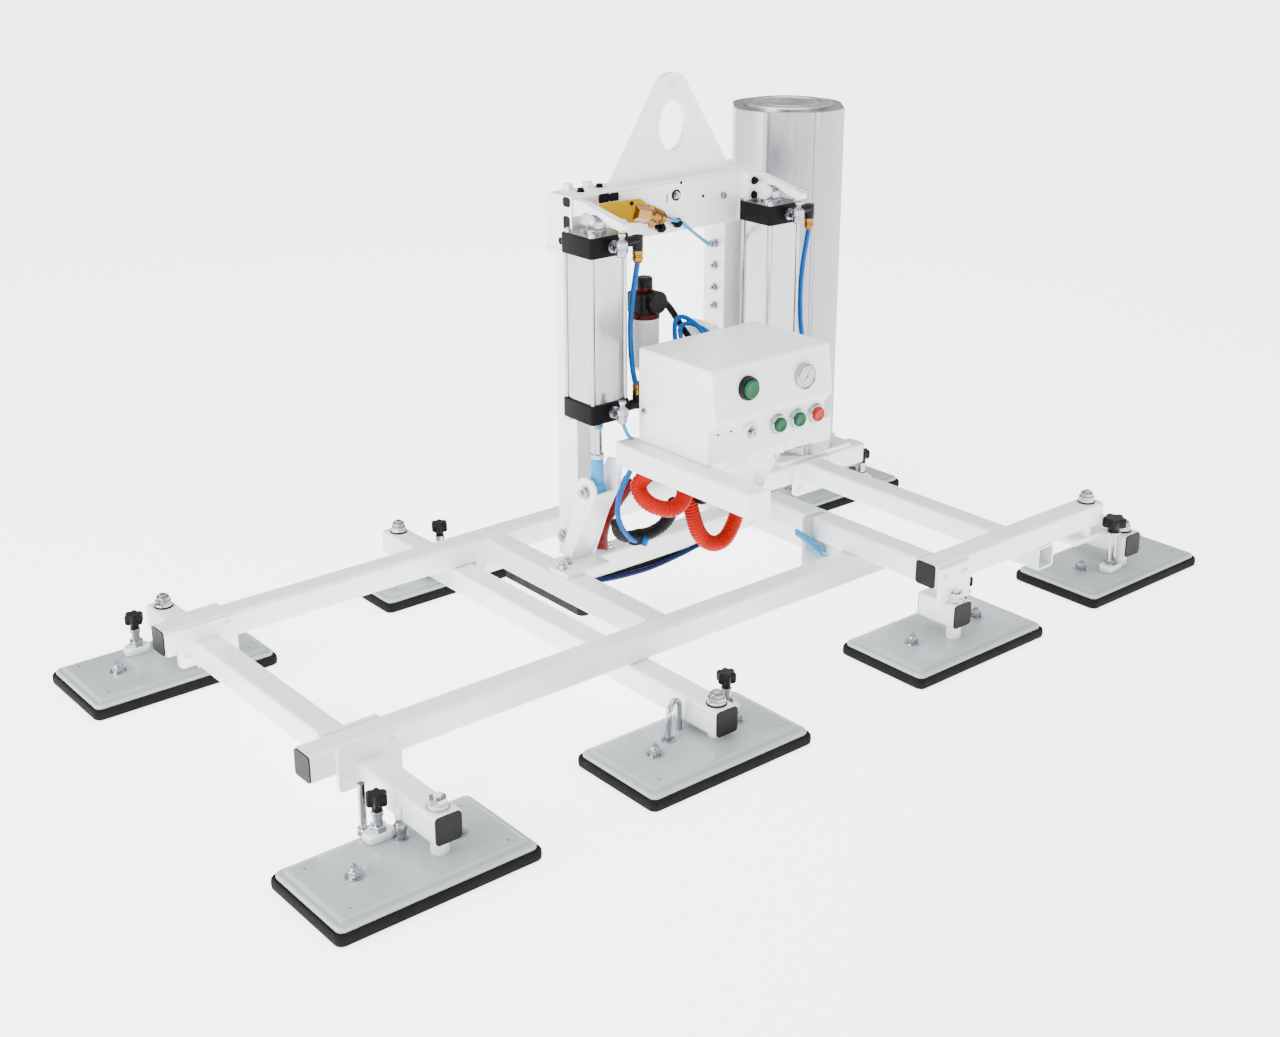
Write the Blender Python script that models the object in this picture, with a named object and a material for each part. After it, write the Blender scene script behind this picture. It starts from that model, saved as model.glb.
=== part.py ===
"""Foam-pad vacuum lifter: seven foam pads under a tube frame, with a portal that tilts back.

Metres, +Z up, the lifting eye on top. -Y is the operator's side, +X runs along the long rails.
The origin lies on the floor, under the middle of the pads.
"""
import math

import bmesh
import bpy
from mathutils import Matrix, Vector

# Clearance between pieces that touch
GAP = 0.0003

# Square steel tube
TUBE = 0.040
TUBE_WALL = 0.003
TUBE_CORNER = 0.004

# Foam pads and their pressed plates
PAD_LENGTH = 0.300
PAD_WIDTH = 0.170
PAD_CORNER = 0.010
FOAM_HEIGHT = 0.016
PLATE_INSET = 0.005
PLATE_HEIGHT = 0.011
PLATE_BEVEL = 0.005
DOME_NUT_PITCH = 0.152
DOME_NUT_RADIUS = 0.007
DOME_NUT_HEIGHT = 0.012
DOME_WASHER_RADIUS = 0.011
DOME_WASHER_HEIGHT = 0.0016
PORT_LENGTH = 0.040
PORT_WIDTH = 0.028
PORT_HEIGHT = 0.012

# Hand valves on the pads
VALVE_STEM_RADIUS = 0.008
VALVE_STEM_HEIGHT = 0.040
TALL_STEM_HEIGHT = 0.072
KNOB_RADIUS = 0.015
STAR_KNOB_RADIUS = 0.021
KNOB_HEIGHT = 0.017
KNOB_LOBES = 6
KNOB_NECK_RADIUS = 0.007
KNOB_NECK = 0.008

# Heights of the frame
ARM_RISE = 0.023
RAIL_RISE = 0.026

# Plan of the frame
FRONT_RAIL_START_X = -0.778
REAR_RAIL_START_X = -0.760
FRONT_RAIL_Y = -0.208
FRONT_RAIL_END_X = 0.320
REAR_RAIL_Y = 0.252
REAR_RAIL_END_X = 0.650
REAR_BEAM_Y = 0.175
REAR_BEAM_START_X = 0.225
LEFT_ARM_X = -0.695
MID_ARM_X = -0.230
BASE_LEFT_X = -0.167
BASE_RIGHT_X = 0.275
TIE_BEAM_Y = 0.070
HANDLE_LEFT_X = 0.250
HANDLE_LEFT_REAR_Y = 0.000
HANDLE_RIGHT_X = 0.507
FRONT_BEAM_Y = -0.372
FRONT_BEAM_END_X = 0.655
FRONT_ARM_END_Y = -0.416
REAR_LEFT_ARM_END_Y = 0.396
REAR_MID_ARM_END_Y = 0.452
INNER_ARM_X = 0.270
INNER_ARM_LENGTH = 0.072
OUTER_ARM_X = 0.716
OUTER_ARM_LENGTH = 0.126
REAR_RIGHT_ARM_X = 0.610
REAR_RIGHT_ARM_END_Y = 0.330

# Where the pads lie
PAD_FRONT_Y = -0.375
PAD_FRONT_LEFT_X = -0.730
PAD_FRONT_MID_X = -0.257
PAD_FRONT_MID_Y = -0.383
PAD_FRONT_INNER_X = 0.280
PAD_FRONT_RIGHT_X = 0.722
PAD_FRONT_RIGHT_Y = -0.366
PAD_REAR_LEFT_X = -0.720
PAD_REAR_LEFT_Y = 0.330
PAD_REAR_MID_X = -0.193
PAD_REAR_MID_Y = 0.375
PAD_REAR_RIGHT_X = 0.610
PAD_REAR_RIGHT_Y = 0.235

# Flanges and studs that hang the arms
FLANGE_WIDTH = 0.096
BASE_FLANGE_WIDTH = 0.080
FLANGE_HEIGHT = 0.062
FLANGE_THICKNESS = 0.008
FLANGE_BOLT_RADIUS = 0.0055
FLANGE_BOLT_HEAD = 0.005
FLANGE_BOLT_EDGE = 0.013
STUD_INSET = 0.021
STUD_RADIUS = 0.006
STUD_NUT_RADIUS = 0.0105
STUD_NUT_HEIGHT = 0.009
STUD_WASHER_RADIUS = 0.0135
STUD_WASHER_HEIGHT = 0.005
STUD_TIP = 0.004
SPACER_RADIUS = 0.012
HANGER_WIDTH = 0.070
HANGER_THICKNESS = 0.007
HANGER_OVERLAP = 0.033
OUTER_HANGER_REACH = 0.120
OUTER_HANGER_FRONT = 0.014
OUTER_HANGER_WIDTH = 0.052

# Portal, hinged at its feet
PORTAL_X = 0.060
PORTAL_Y = 0.085
POST_SPACING = 0.310
POST = 0.050
POST_CORNER = 0.004
HINGE_RISE = 0.0265
HINGE_PIN_RADIUS = 0.008
EAR_THICKNESS = 0.006
EAR_RADIUS = 0.018
CROSSBAR_BOTTOM = 0.628
CROSSBAR_HEIGHT = 0.082
CROSSBAR_DEPTH = 0.062
CROSSBAR_LEFT_OVERHANG = 0.010
CROSSBAR_RIGHT_OVERHANG = 0.022
FIT = 0.0004

# Lifting eye
EYE_BASE = 0.250
EYE_HEIGHT = 0.164
EYE_THICKNESS = 0.012
EYE_TIP_RADIUS = 0.050
EYE_HOLE_WIDTH = 0.058
EYE_HOLE_HEIGHT = 0.080
EYE_HOLE_TOP = 0.042
EYE_CENTRE_SHIFT = 0.033

# Tilt cylinders
CYLINDER_OFFSET = 0.0275
CYLINDER_Y = 0.0075
HEAD = 0.074
HEAD_HEIGHT = 0.031
HEAD_CHAMFER = 0.003
BARREL_RADIUS = 0.0335
BORE_RADIUS = 0.0315
TIE_ROD_RADIUS = 0.004
TIE_ROD_INSET = 0.008
CYLINDER_BOTTOM = 0.374
CYLINDER_TOP = 0.664
TOP_PIVOT = 0.680
LUG_WIDTH = 0.014
LUG_RADIUS = 0.011
PIVOT_RADIUS = 0.005
CYLINDER_ARM_WIDTH = 0.024
CYLINDER_ARM_THICKNESS = 0.008
ROD_RADIUS = 0.009
ROD_EYE_RADIUS = 0.014
ROD_EYE_WIDTH = 0.020
ROD_EYE_Z = 0.253
PISTON_HEIGHT = 0.014

# Lever brackets that take the rods' push
LEVER_FOOT_LENGTH = 0.044
LEVER_FOOT_THICKNESS = 0.008
LEVER_CLEARANCE = 0.006
LEVER_TOP_Z = 0.330
LEVER_DEPTH = 0.040
CHEEK_SPACING = 0.036
CHEEK_THICKNESS = 0.005
LEVER_BOLT_RADIUS = 0.0075
LEVER_BOLT_HEAD = 0.006

# Support of the control box
SUPPORT_INSET = 0.0025
SUPPORT_BOTTOM = 0.300
SUPPORT_LEFT_FRONT_Y = -0.330
SUPPORT_RIGHT_FRONT_Y = -0.152
SUPPORT_CROSS_Y = -0.130

# Control box
BOX_LEFT_X = -0.082
BOX_RIGHT_X = 0.163
BOX_BACK_Y = -0.046
BOX_DEPTH = 0.166
BOX_HEIGHT = 0.149
BOX_NOSE = 0.016
BOX_NOSE_Z = 0.070
BOX_CHIN_Z = 0.052
BOX_CHIN = 0.006
BOX_CORNER = 0.003

# Switches and gauge in the control box, each by its distance from the box's left side
BIG_BUTTON_AT = 0.068
BIG_BUTTON_DROP = 0.037
BIG_BUTTON_RADIUS = 0.0145
BUTTON_RADIUS = 0.0115
BUTTON_HEIGHT = 0.010
BUTTON_SEAT = 0.006
BUTTON_ROW_RISE = 0.038
BUTTON_AT = (0.141, 0.182, 0.222)
BUTTON_NAMES = ("button_green_left", "button_green_right", "button_red")
KEY_AT = 0.084
KEY_RADIUS = 0.010
KEY_HEIGHT = 0.008
GAUGE_AT = 0.185
GAUGE_DROP = 0.041
GAUGE_RADIUS = 0.020
GAUGE_DEPTH = 0.010
BUSH_WALL = 0.003
BUSH_HEIGHT = 0.006

# Vacuum tank
TANK_X = 0.526
TANK_Y = 0.262
TANK_RADIUS = 0.100
TANK_TOP = 0.764
TANK_FLAT = 0.104
TANK_RIB = 0.016
TANK_CAP_RADIUS = 0.080
TANK_CAP_HEIGHT = 0.006
TANK_FOOT_LENGTH = 0.190
TANK_FOOT_THICKNESS = 0.008

# Filter with regulator, and silencer, behind the control box
FILTER_X = -0.008
FILTER_REACH = 0.074
FILTER_RADIUS = 0.023
FILTER_BOTTOM = 0.420
FILTER_BOWL = 0.092
FILTER_BODY = 0.038
FILTER_KNOB_RADIUS = 0.016
FILTER_KNOB = 0.026
FILTER_GAUGE_RADIUS = 0.018
SILENCER_X = 0.084
SILENCER_Z = 0.490
SILENCER_RADIUS = 0.016
SILENCER_LENGTH = 0.052
SILENCER_NECK_RADIUS = 0.009
SILENCER_NECK = 0.012

# Hand-operated ball valve on the crossbar
BALL_VALVE_AT = 0.102
BALL_VALVE_RISE = 0.040
BALL_VALVE_RADIUS = 0.011
BALL_VALVE_LENGTH = 0.066
BALL_VALVE_STEM = 0.016
VALVE_LEVER_LENGTH = 0.082
VALVE_LEVER_WIDTH = 0.020
VALVE_LEVER_THICKNESS = 0.007

# Hoses
VACUUM_HOSE_RADIUS = 0.015
HOSE_PORT_INSET = 0.005
HOSE_PORT_AT = (0.032, 0.196)
HOSE_ROUTE = (
    (-0.004, 0.018, -0.030), (0.004, 0.038, -0.066), (0.034, 0.050, -0.090), (0.074, 0.052, -0.082),
    (0.106, 0.054, -0.094), (0.132, 0.056, -0.142), (0.160, 0.056, -0.176), (0.192, 0.056, -0.162),
    (0.206, 0.054, -0.116), (0.194, 0.044, -0.064), (0.170, 0.022, -0.020),
)
AIR_HOSE_RADIUS = 0.004
ELBOW_RADIUS = 0.007
MANIFOLD_WIDTH = 0.028
MANIFOLD_HEIGHT = 0.018
MANIFOLD_FRONT_Y = -0.020
MANIFOLD_REAR_Y = 0.190

ROUND_STEPS = 16
FINE_STEPS = 24

# Levels that follow from the sizes above
PLATE_TOP = FOAM_HEIGHT + PLATE_HEIGHT
ARM_BOTTOM = PLATE_TOP + ARM_RISE
RAIL_BOTTOM = ARM_BOTTOM + RAIL_RISE
RAIL_TOP = RAIL_BOTTOM + TUBE
CROSS_BOTTOM = RAIL_BOTTOM - GAP - TUBE
UPPER_BOTTOM = RAIL_TOP + GAP
HALF = TUBE / 2
HINGE_Z = UPPER_BOTTOM + LEVER_FOOT_THICKNESS + HINGE_RISE
LEVER_BASE = UPPER_BOTTOM + LEVER_FOOT_THICKNESS
LEVER_FOOT_Y = PORTAL_Y - POST / 2 - LEVER_CLEARANCE - LEVER_DEPTH / 2
LEVER_SLOPE = (CYLINDER_Y - LEVER_FOOT_Y) / (ROD_EYE_Z - LEVER_BASE)
LEVER_TOP_Y = LEVER_FOOT_Y + LEVER_SLOPE * (LEVER_TOP_Z - LEVER_BASE)
SUPPORT_OFFSET = POST_SPACING / 2 - SUPPORT_INSET
SUPPORT_REAR_Y = LEVER_TOP_Y - LEVER_DEPTH / 2 - GAP
BOX_BOTTOM = SUPPORT_BOTTOM + TUBE + GAP
BIG_BUTTON_RISE = BOX_HEIGHT - BIG_BUTTON_DROP
GAUGE_RISE = BOX_HEIGHT - GAUGE_DROP
BOX_FRONT_Y = BOX_BACK_Y - BOX_DEPTH
CROSSBAR_TOP = CROSSBAR_BOTTOM + CROSSBAR_HEIGHT

WHITE = ("white_powder_coat", (0.86, 0.87, 0.88), 0.35, 0.0)
GREY = ("light_grey_gloss", (0.62, 0.66, 0.66), 0.22, 0.1)
FOAM = ("black_foam", (0.02, 0.02, 0.022), 0.9, 0.0)
ZINC = ("zinc_plate", (0.62, 0.63, 0.65), 0.3, 0.95)
SILVER = ("anodised_aluminium", (0.72, 0.73, 0.74), 0.3, 0.9)
BLACK = ("black_plastic", (0.02, 0.02, 0.022), 0.4, 0.0)
BLUE = ("blue_hose", (0.02, 0.22, 0.62), 0.3, 0.0)
RED_HOSE = ("orange_red_hose", (0.80, 0.09, 0.03), 0.35, 0.0)
GREEN = ("green_cap", (0.0, 0.28, 0.12), 0.35, 0.0)
RED = ("red_cap", (0.70, 0.05, 0.03), 0.35, 0.0)
YELLOW = ("yellow_lever", (0.75, 0.55, 0.02), 0.4, 0.0)
BRASS = ("brass", (0.62, 0.42, 0.16), 0.3, 0.9)


def material(finish):
    """Return the material of one finish, made once."""
    name, colour, roughness, metallic = finish
    found = bpy.data.materials.get(name)
    if found:
        return found
    made = bpy.data.materials.new(name)
    made.use_nodes = True
    made.diffuse_color = (*colour, 1.0)
    shader = made.node_tree.nodes["Principled BSDF"]
    shader.inputs["Base Color"].default_value = (*colour, 1.0)
    shader.inputs["Roughness"].default_value = roughness
    shader.inputs["Metallic"].default_value = metallic
    return made


def to_object(name, bm, finish=WHITE):
    """Turn a bmesh into a named object with outward faces."""
    bmesh.ops.recalc_face_normals(bm, faces=bm.faces)
    mesh = bpy.data.meshes.new(name)
    bm.to_mesh(mesh)
    bm.free()
    obj = bpy.data.objects.new(name, mesh)
    bpy.context.scene.collection.objects.link(obj)
    mesh.materials.append(material(finish))
    return obj


def prism(points, start, end, axis="Z", name="piece"):
    """Extrude a closed outline between two heights along an axis."""
    turn = {
        "Z": lambda u, v, w: (u, v, w),
        "X": lambda u, v, w: (w, u, v),
        "Y": lambda u, v, w: (u, w, v),
    }[axis]
    bm = bmesh.new()
    low = [bm.verts.new(turn(u, v, start)) for u, v in points]
    high = [bm.verts.new(turn(u, v, end)) for u, v in points]
    count = len(points)
    for i in range(count):
        j = (i + 1) % count
        bm.faces.new((low[i], low[j], high[j], high[i]))
    bm.faces.new(low)
    bm.faces.new(high)
    return to_object(name, bm)


def rounded(width, height, radius, steps=2, centre=(0.0, 0.0)):
    """Outline of a rectangle with round corners."""
    points = []
    corners = ((1, 1, 0), (-1, 1, 1), (-1, -1, 2), (1, -1, 3))
    for sx, sy, quarter in corners:
        cx = centre[0] + sx * (width / 2 - radius)
        cy = centre[1] + sy * (height / 2 - radius)
        for k in range(steps + 1):
            angle = math.pi / 2 * (quarter + k / steps)
            points.append((cx + radius * math.cos(angle), cy + radius * math.sin(angle)))
    return points


def circle(radius, steps=ROUND_STEPS, centre=(0.0, 0.0)):
    """Outline of a circle."""
    return [
        (centre[0] + radius * math.cos(2 * math.pi * k / steps),
         centre[1] + radius * math.sin(2 * math.pi * k / steps))
        for k in range(steps)
    ]


def block(x0, x1, y0, y1, z0, z1, name="block"):
    """A plain rectangular solid between its corners."""
    return prism([(x0, y0), (x1, y0), (x1, y1), (x0, y1)], z0, z1, "Z", name)


def rod(axis, centre, start, end, radius, steps=ROUND_STEPS, name="rod"):
    """A round bar along an axis, centred in the plane across it."""
    return prism(circle(radius, steps, centre), start, end, axis, name)


def turned(profile, place, axis="Z", steps=ROUND_STEPS, name="turned"):
    """Spin a profile of (radius, height) points, closed by its ends on the axis."""
    bm = bmesh.new()
    rings = []
    for radius, height in profile:
        if radius < 1e-6:
            rings.append([bm.verts.new((0, 0, height))])
            continue
        rings.append([
            bm.verts.new((radius * math.cos(2 * math.pi * k / steps),
                          radius * math.sin(2 * math.pi * k / steps), height))
            for k in range(steps)
        ])
    for low, high in zip(rings, rings[1:]):
        for k in range(steps):
            j = (k + 1) % steps
            corners = [low[k % len(low)], low[j % len(low)], high[j % len(high)], high[k % len(high)]]
            unique = list(dict.fromkeys(corners))
            if len(unique) > 2:
                bm.faces.new(unique)
    turns = {
        "Z": Matrix.Identity(4),
        "-Y": Matrix.Rotation(math.pi / 2, 4, "X"),
        "Y": Matrix.Rotation(-math.pi / 2, 4, "X"),
        "X": Matrix.Rotation(math.pi / 2, 4, "Y"),
        "-X": Matrix.Rotation(-math.pi / 2, 4, "Y"),
    }
    bm.transform(Matrix.Translation(Vector(place)) @ turns[axis])
    return to_object(name, bm)


def combine(target, tools, operation):
    """Apply one Boolean for each tool, then delete the tools."""
    for tool in tools:
        tool.hide_render = True
        tool.display_type = "WIRE"
        modifier = target.modifiers.new("combine", "BOOLEAN")
        modifier.operation = operation
        modifier.solver = "EXACT"
        modifier.object = tool
        bpy.context.view_layer.update()
        graph = bpy.context.evaluated_depsgraph_get()
        result = bpy.data.meshes.new_from_object(target.evaluated_get(graph))
        target.modifiers.clear()
        old = target.data
        target.data = result
        bpy.data.meshes.remove(old)
        bpy.data.objects.remove(tool)
    return target


def fuse(target, *tools):
    """Weld pieces into one body."""
    return combine(target, tools, "UNION")


def cut(target, *tools):
    """Cut pieces out of a body."""
    return combine(target, tools, "DIFFERENCE")


def finish_piece(obj, name, finish, origin=None, smooth=True):
    """Name a piece, give it its one material and put its origin on its axis."""
    obj.name = name
    obj.data.name = name
    obj.data.materials.clear()
    obj.data.materials.append(material(finish))
    if origin is not None:
        obj.data.transform(Matrix.Translation(-Vector(origin)))
        obj.location = origin
    if smooth:
        obj.data.shade_smooth()
        obj.data.set_sharp_from_angle(angle=math.radians(35))
    return obj


def square_bar(axis, start, end, centre, size=TUBE):
    """The outside of a square tube along an axis, centred in the plane across it."""
    return prism(rounded(size, size, TUBE_CORNER, 2, centre), start, end, axis)


def square_bore(axis, start, end, centre, size=TUBE):
    """The room inside a square tube."""
    inner_size = size - 2 * TUBE_WALL
    inner_corner = max(TUBE_CORNER - TUBE_WALL, TUBE_WALL / 4)
    return prism(rounded(inner_size, inner_size, inner_corner, 1, centre), start, end, axis)


def square_tube(axis, start, end, centre, size=TUBE):
    """An open square tube along an axis, centred in the plane across it."""
    bore = square_bore(axis, start - TUBE, end + TUBE, centre, size)
    return cut(square_bar(axis, start, end, centre, size), bore)


def flange(x, y0, z_top, width=FLANGE_WIDTH, height=FLANGE_HEIGHT, side=-1, open_middle=True):
    """A flange plate against a rail's face, its thickness running to the given side in Y."""
    y1 = y0 + side * FLANGE_THICKNESS
    centre = (x, z_top - height / 2)
    plate = prism(rounded(width, height, TUBE_CORNER, 1, centre), min(y0, y1), max(y0, y1), "Y")
    reach_x = width / 2 - FLANGE_BOLT_EDGE
    head_end = y1 + side * FLANGE_BOLT_HEAD
    near = y1 - side * FLANGE_THICKNESS / 2
    spots = ((x + reach_x, z_top - FLANGE_BOLT_EDGE),
             (x - reach_x, z_top - height + FLANGE_BOLT_EDGE))
    heads = [
        rod("Y", spot, min(near, head_end), max(near, head_end), FLANGE_BOLT_RADIUS, 6)
        for spot in spots
    ]
    return fuse(plate, *heads)


def stud(x, y, arm_bottom):
    """A pad's stud with its nuts, washers and spacer, through an arm."""
    arm_top = arm_bottom + TUBE
    bar = rod("Z", (x, y), PLATE_TOP + GAP, arm_top + STUD_WASHER_HEIGHT + STUD_NUT_HEIGHT + STUD_TIP,
              STUD_RADIUS, 12)
    spacer = rod("Z", (x, y), PLATE_TOP + GAP, arm_bottom + TUBE_WALL / 2, SPACER_RADIUS, 12)
    washer = rod("Z", (x, y), arm_top - TUBE_WALL / 2, arm_top + STUD_WASHER_HEIGHT,
                 STUD_WASHER_RADIUS, 16)
    nut = rod("Z", (x, y), arm_top + STUD_WASHER_HEIGHT / 2,
              arm_top + STUD_WASHER_HEIGHT + STUD_NUT_HEIGHT, STUD_NUT_RADIUS, 6)
    return fuse(bar, spacer, washer, nut)


def build_rails():
    """The two long rails and the short rear beam."""
    rail_z = RAIL_BOTTOM + HALF
    front = square_tube("X", FRONT_RAIL_START_X, FRONT_RAIL_END_X, (FRONT_RAIL_Y, rail_z))
    finish_piece(front, "front_rail", WHITE)
    rear = square_tube("X", REAR_RAIL_START_X, REAR_RAIL_END_X, (REAR_RAIL_Y, rail_z))
    finish_piece(rear, "rear_rail", WHITE)
    beam = square_tube("X", REAR_BEAM_START_X, REAR_RAIL_END_X, (REAR_BEAM_Y, rail_z))
    finish_piece(beam, "rear_right_beam", WHITE)


def build_left_cross_arm():
    """The tube between the rails' left ends, with a flange at each end."""
    front = FRONT_RAIL_Y + HALF + GAP
    rear = REAR_RAIL_Y - HALF - GAP
    inset = FLANGE_THICKNESS / 2
    centre = (LEFT_ARM_X, ARM_BOTTOM + HALF)
    tube = square_bar("Y", front + inset, rear - inset, centre)
    low = flange(LEFT_ARM_X, front, RAIL_TOP, side=1)
    high = flange(LEFT_ARM_X, rear, RAIL_TOP, side=-1)
    bore = square_bore("Y", front - TUBE, rear + TUBE, centre)
    finish_piece(cut(fuse(tube, low, high), bore), "left_cross_arm", WHITE)


def build_mid_cross_arm():
    """The long tube under both rails that carries a pad at each end."""
    tube = square_tube("Y", FRONT_ARM_END_Y, REAR_MID_ARM_END_Y, (MID_ARM_X, CROSS_BOTTOM + HALF))
    front = stud(MID_ARM_X, FRONT_ARM_END_Y + STUD_INSET, CROSS_BOTTOM)
    rear = stud(MID_ARM_X, REAR_MID_ARM_END_Y - STUD_INSET, CROSS_BOTTOM)
    finish_piece(fuse(tube, front, rear), "mid_cross_arm", WHITE)


def build_end_arm(name, x, rail_face_y, end_y):
    """An arm flanged to a rail's outer face, with its stud near the end."""
    side = 1 if end_y > rail_face_y else -1
    face = rail_face_y + side * GAP
    start = face + side * FLANGE_THICKNESS / 2
    tube = square_tube("Y", min(start, end_y), max(start, end_y), (x, ARM_BOTTOM + HALF))
    plate = flange(x, face, RAIL_TOP, side=side)
    bolt = stud(x, end_y - side * STUD_INSET, ARM_BOTTOM)
    finish_piece(fuse(tube, plate, bolt), name, WHITE)


def build_inner_arm():
    """The short arm under the front beam's left end, on a hanger plate."""
    rear = FRONT_ARM_END_Y + INNER_ARM_LENGTH
    tube = square_tube("Y", FRONT_ARM_END_Y, rear, (INNER_ARM_X, ARM_BOTTOM + HALF))
    face = FRONT_BEAM_Y - HALF - GAP
    hanger = block(INNER_ARM_X - HANGER_WIDTH / 2, INNER_ARM_X + HANGER_WIDTH / 2,
                   face - HANGER_THICKNESS, face,
                   ARM_BOTTOM + TUBE - TUBE_WALL / 2, UPPER_BOTTOM + HANGER_OVERLAP)
    near = face - HANGER_THICKNESS / 2
    heads = [
        rod("Y", (INNER_ARM_X + sign * (HANGER_WIDTH / 2 - FLANGE_BOLT_EDGE),
                  UPPER_BOTTOM + HANGER_OVERLAP / 2),
            face - HANGER_THICKNESS - FLANGE_BOLT_HEAD, near, FLANGE_BOLT_RADIUS, 6)
        for sign in (-1, 1)
    ]
    bolt = stud(INNER_ARM_X, FRONT_ARM_END_Y + STUD_INSET / 1.4, ARM_BOTTOM)
    finish_piece(fuse(tube, hanger, bolt, *heads), "arm_front_inner", WHITE)


def build_outer_arm():
    """The arm beside the front beam's right end, hung from a plate and a spacer."""
    rear = FRONT_ARM_END_Y + OUTER_ARM_LENGTH
    tube = square_tube("Y", FRONT_ARM_END_Y, rear, (OUTER_ARM_X, ARM_BOTTOM + HALF))
    top = ARM_BOTTOM + TUBE
    plate_x = OUTER_ARM_X - OUTER_HANGER_REACH
    plate = block(plate_x, OUTER_ARM_X + HALF,
                  FRONT_BEAM_Y - OUTER_HANGER_FRONT,
                  FRONT_BEAM_Y - OUTER_HANGER_FRONT + OUTER_HANGER_WIDTH,
                  top - TUBE_WALL / 2, top + HANGER_THICKNESS)
    spacer_x = FRONT_BEAM_END_X - HALF
    spacer = rod("Z", (spacer_x, FRONT_BEAM_Y), top, UPPER_BOTTOM - GAP, SPACER_RADIUS, 16)
    bolt = stud(OUTER_ARM_X, FRONT_ARM_END_Y + STUD_INSET, ARM_BOTTOM)
    finish_piece(fuse(tube, plate, spacer, bolt), "arm_front_right", WHITE)


def build_rear_right_arm():
    """The arm under the two rear beams that carries the rear right pad."""
    start = REAR_BEAM_Y - HALF
    tube = square_tube("Y", start, REAR_RIGHT_ARM_END_Y, (REAR_RIGHT_ARM_X, CROSS_BOTTOM + HALF))
    bolt = stud(REAR_RIGHT_ARM_X, REAR_RIGHT_ARM_END_Y - STUD_INSET, CROSS_BOTTOM)
    finish_piece(fuse(tube, bolt), "arm_rear_right", WHITE)


def hinge_ear(x0, x1):
    """One ear of a post's hinge, standing on the tie beam."""
    foot = UPPER_BOTTOM - GAP - TUBE_WALL / 2
    outline = [(PORTAL_Y - EAR_RADIUS, foot), (PORTAL_Y + EAR_RADIUS, foot)]
    for k in range(9):
        angle = math.pi * k / 8
        outline.append((PORTAL_Y + EAR_RADIUS * math.cos(angle), HINGE_Z + EAR_RADIUS * math.sin(angle)))
    ear = prism(outline, x0, x1, "X")
    hole = rod("X", (PORTAL_Y, HINGE_Z), x0 - POST, x1 + POST, HINGE_PIN_RADIUS + FIT, 16)
    return cut(ear, hole)


def post_centres():
    """X of the two posts."""
    return PORTAL_X - POST_SPACING / 2, PORTAL_X + POST_SPACING / 2


def cylinder_centres():
    """X of the two cylinders, outward of the posts."""
    left, right = post_centres()
    return left - CYLINDER_OFFSET, right + CYLINDER_OFFSET


def build_base_frame():
    """The welded base: two beams, the tie beam between them and the hinge ears."""
    front = FRONT_RAIL_Y + HALF + GAP
    rail_z = RAIL_BOTTOM + HALF
    inset = FLANGE_THICKNESS / 2
    rear_left = REAR_RAIL_Y - HALF - GAP
    left = square_tube("Y", front, rear_left - inset, (BASE_LEFT_X, rail_z))
    plate = flange(BASE_LEFT_X, rear_left, RAIL_TOP + GAP, BASE_FLANGE_WIDTH, side=-1)
    rear_right = REAR_BEAM_Y - HALF - GAP
    right = square_tube("Y", front, rear_right, (BASE_RIGHT_X, rail_z))
    tie_start = BASE_LEFT_X + HALF - TUBE_WALL / 2
    tie_end = BASE_RIGHT_X - HALF + TUBE_WALL / 2
    tie = square_bar("X", tie_start, tie_end, (TIE_BEAM_Y, rail_z))
    bore = square_bore("X", tie_start - TUBE_WALL, tie_end + TUBE_WALL, (TIE_BEAM_Y, rail_z))
    ears = []
    for x in post_centres():
        for sign in (-1, 1):
            inner = x + sign * (POST / 2 + FIT)
            outer = inner + sign * EAR_THICKNESS
            ears.append(hinge_ear(min(inner, outer), max(inner, outer)))
    frame = cut(fuse(left, plate, tie, right), bore)
    finish_piece(fuse(frame, *ears), "base_frame", WHITE)


def build_upper_beams():
    """The left handle beam, the front beam and the right handle beam."""
    upper_z = UPPER_BOTTOM + HALF
    beam_back = FRONT_BEAM_Y + HALF + GAP
    left = square_tube("Y", beam_back, HANDLE_LEFT_REAR_Y, (HANDLE_LEFT_X, upper_z))
    finish_piece(left, "handle_beam_left", WHITE)
    front = square_tube("X", HANDLE_LEFT_X - HALF, FRONT_BEAM_END_X, (FRONT_BEAM_Y, upper_z))
    nut_x = FRONT_BEAM_END_X - HALF
    top = UPPER_BOTTOM + TUBE
    washer = rod("Z", (nut_x, FRONT_BEAM_Y), top - TUBE_WALL / 2, top + STUD_WASHER_HEIGHT,
                 STUD_WASHER_RADIUS, 16)
    nut = rod("Z", (nut_x, FRONT_BEAM_Y), top + STUD_WASHER_HEIGHT / 2,
              top + STUD_WASHER_HEIGHT + STUD_NUT_HEIGHT, STUD_NUT_RADIUS, 6)
    finish_piece(fuse(front, washer, nut), "front_beam", WHITE)
    face = REAR_BEAM_Y - HALF - GAP
    right = square_tube("Y", FRONT_BEAM_Y - HALF, face - FLANGE_THICKNESS / 2,
                        (HANDLE_RIGHT_X, RAIL_BOTTOM + HALF))
    plate = flange(HANDLE_RIGHT_X, face, RAIL_TOP, side=-1)
    finish_piece(fuse(right, plate), "handle_beam_right", WHITE)


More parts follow.
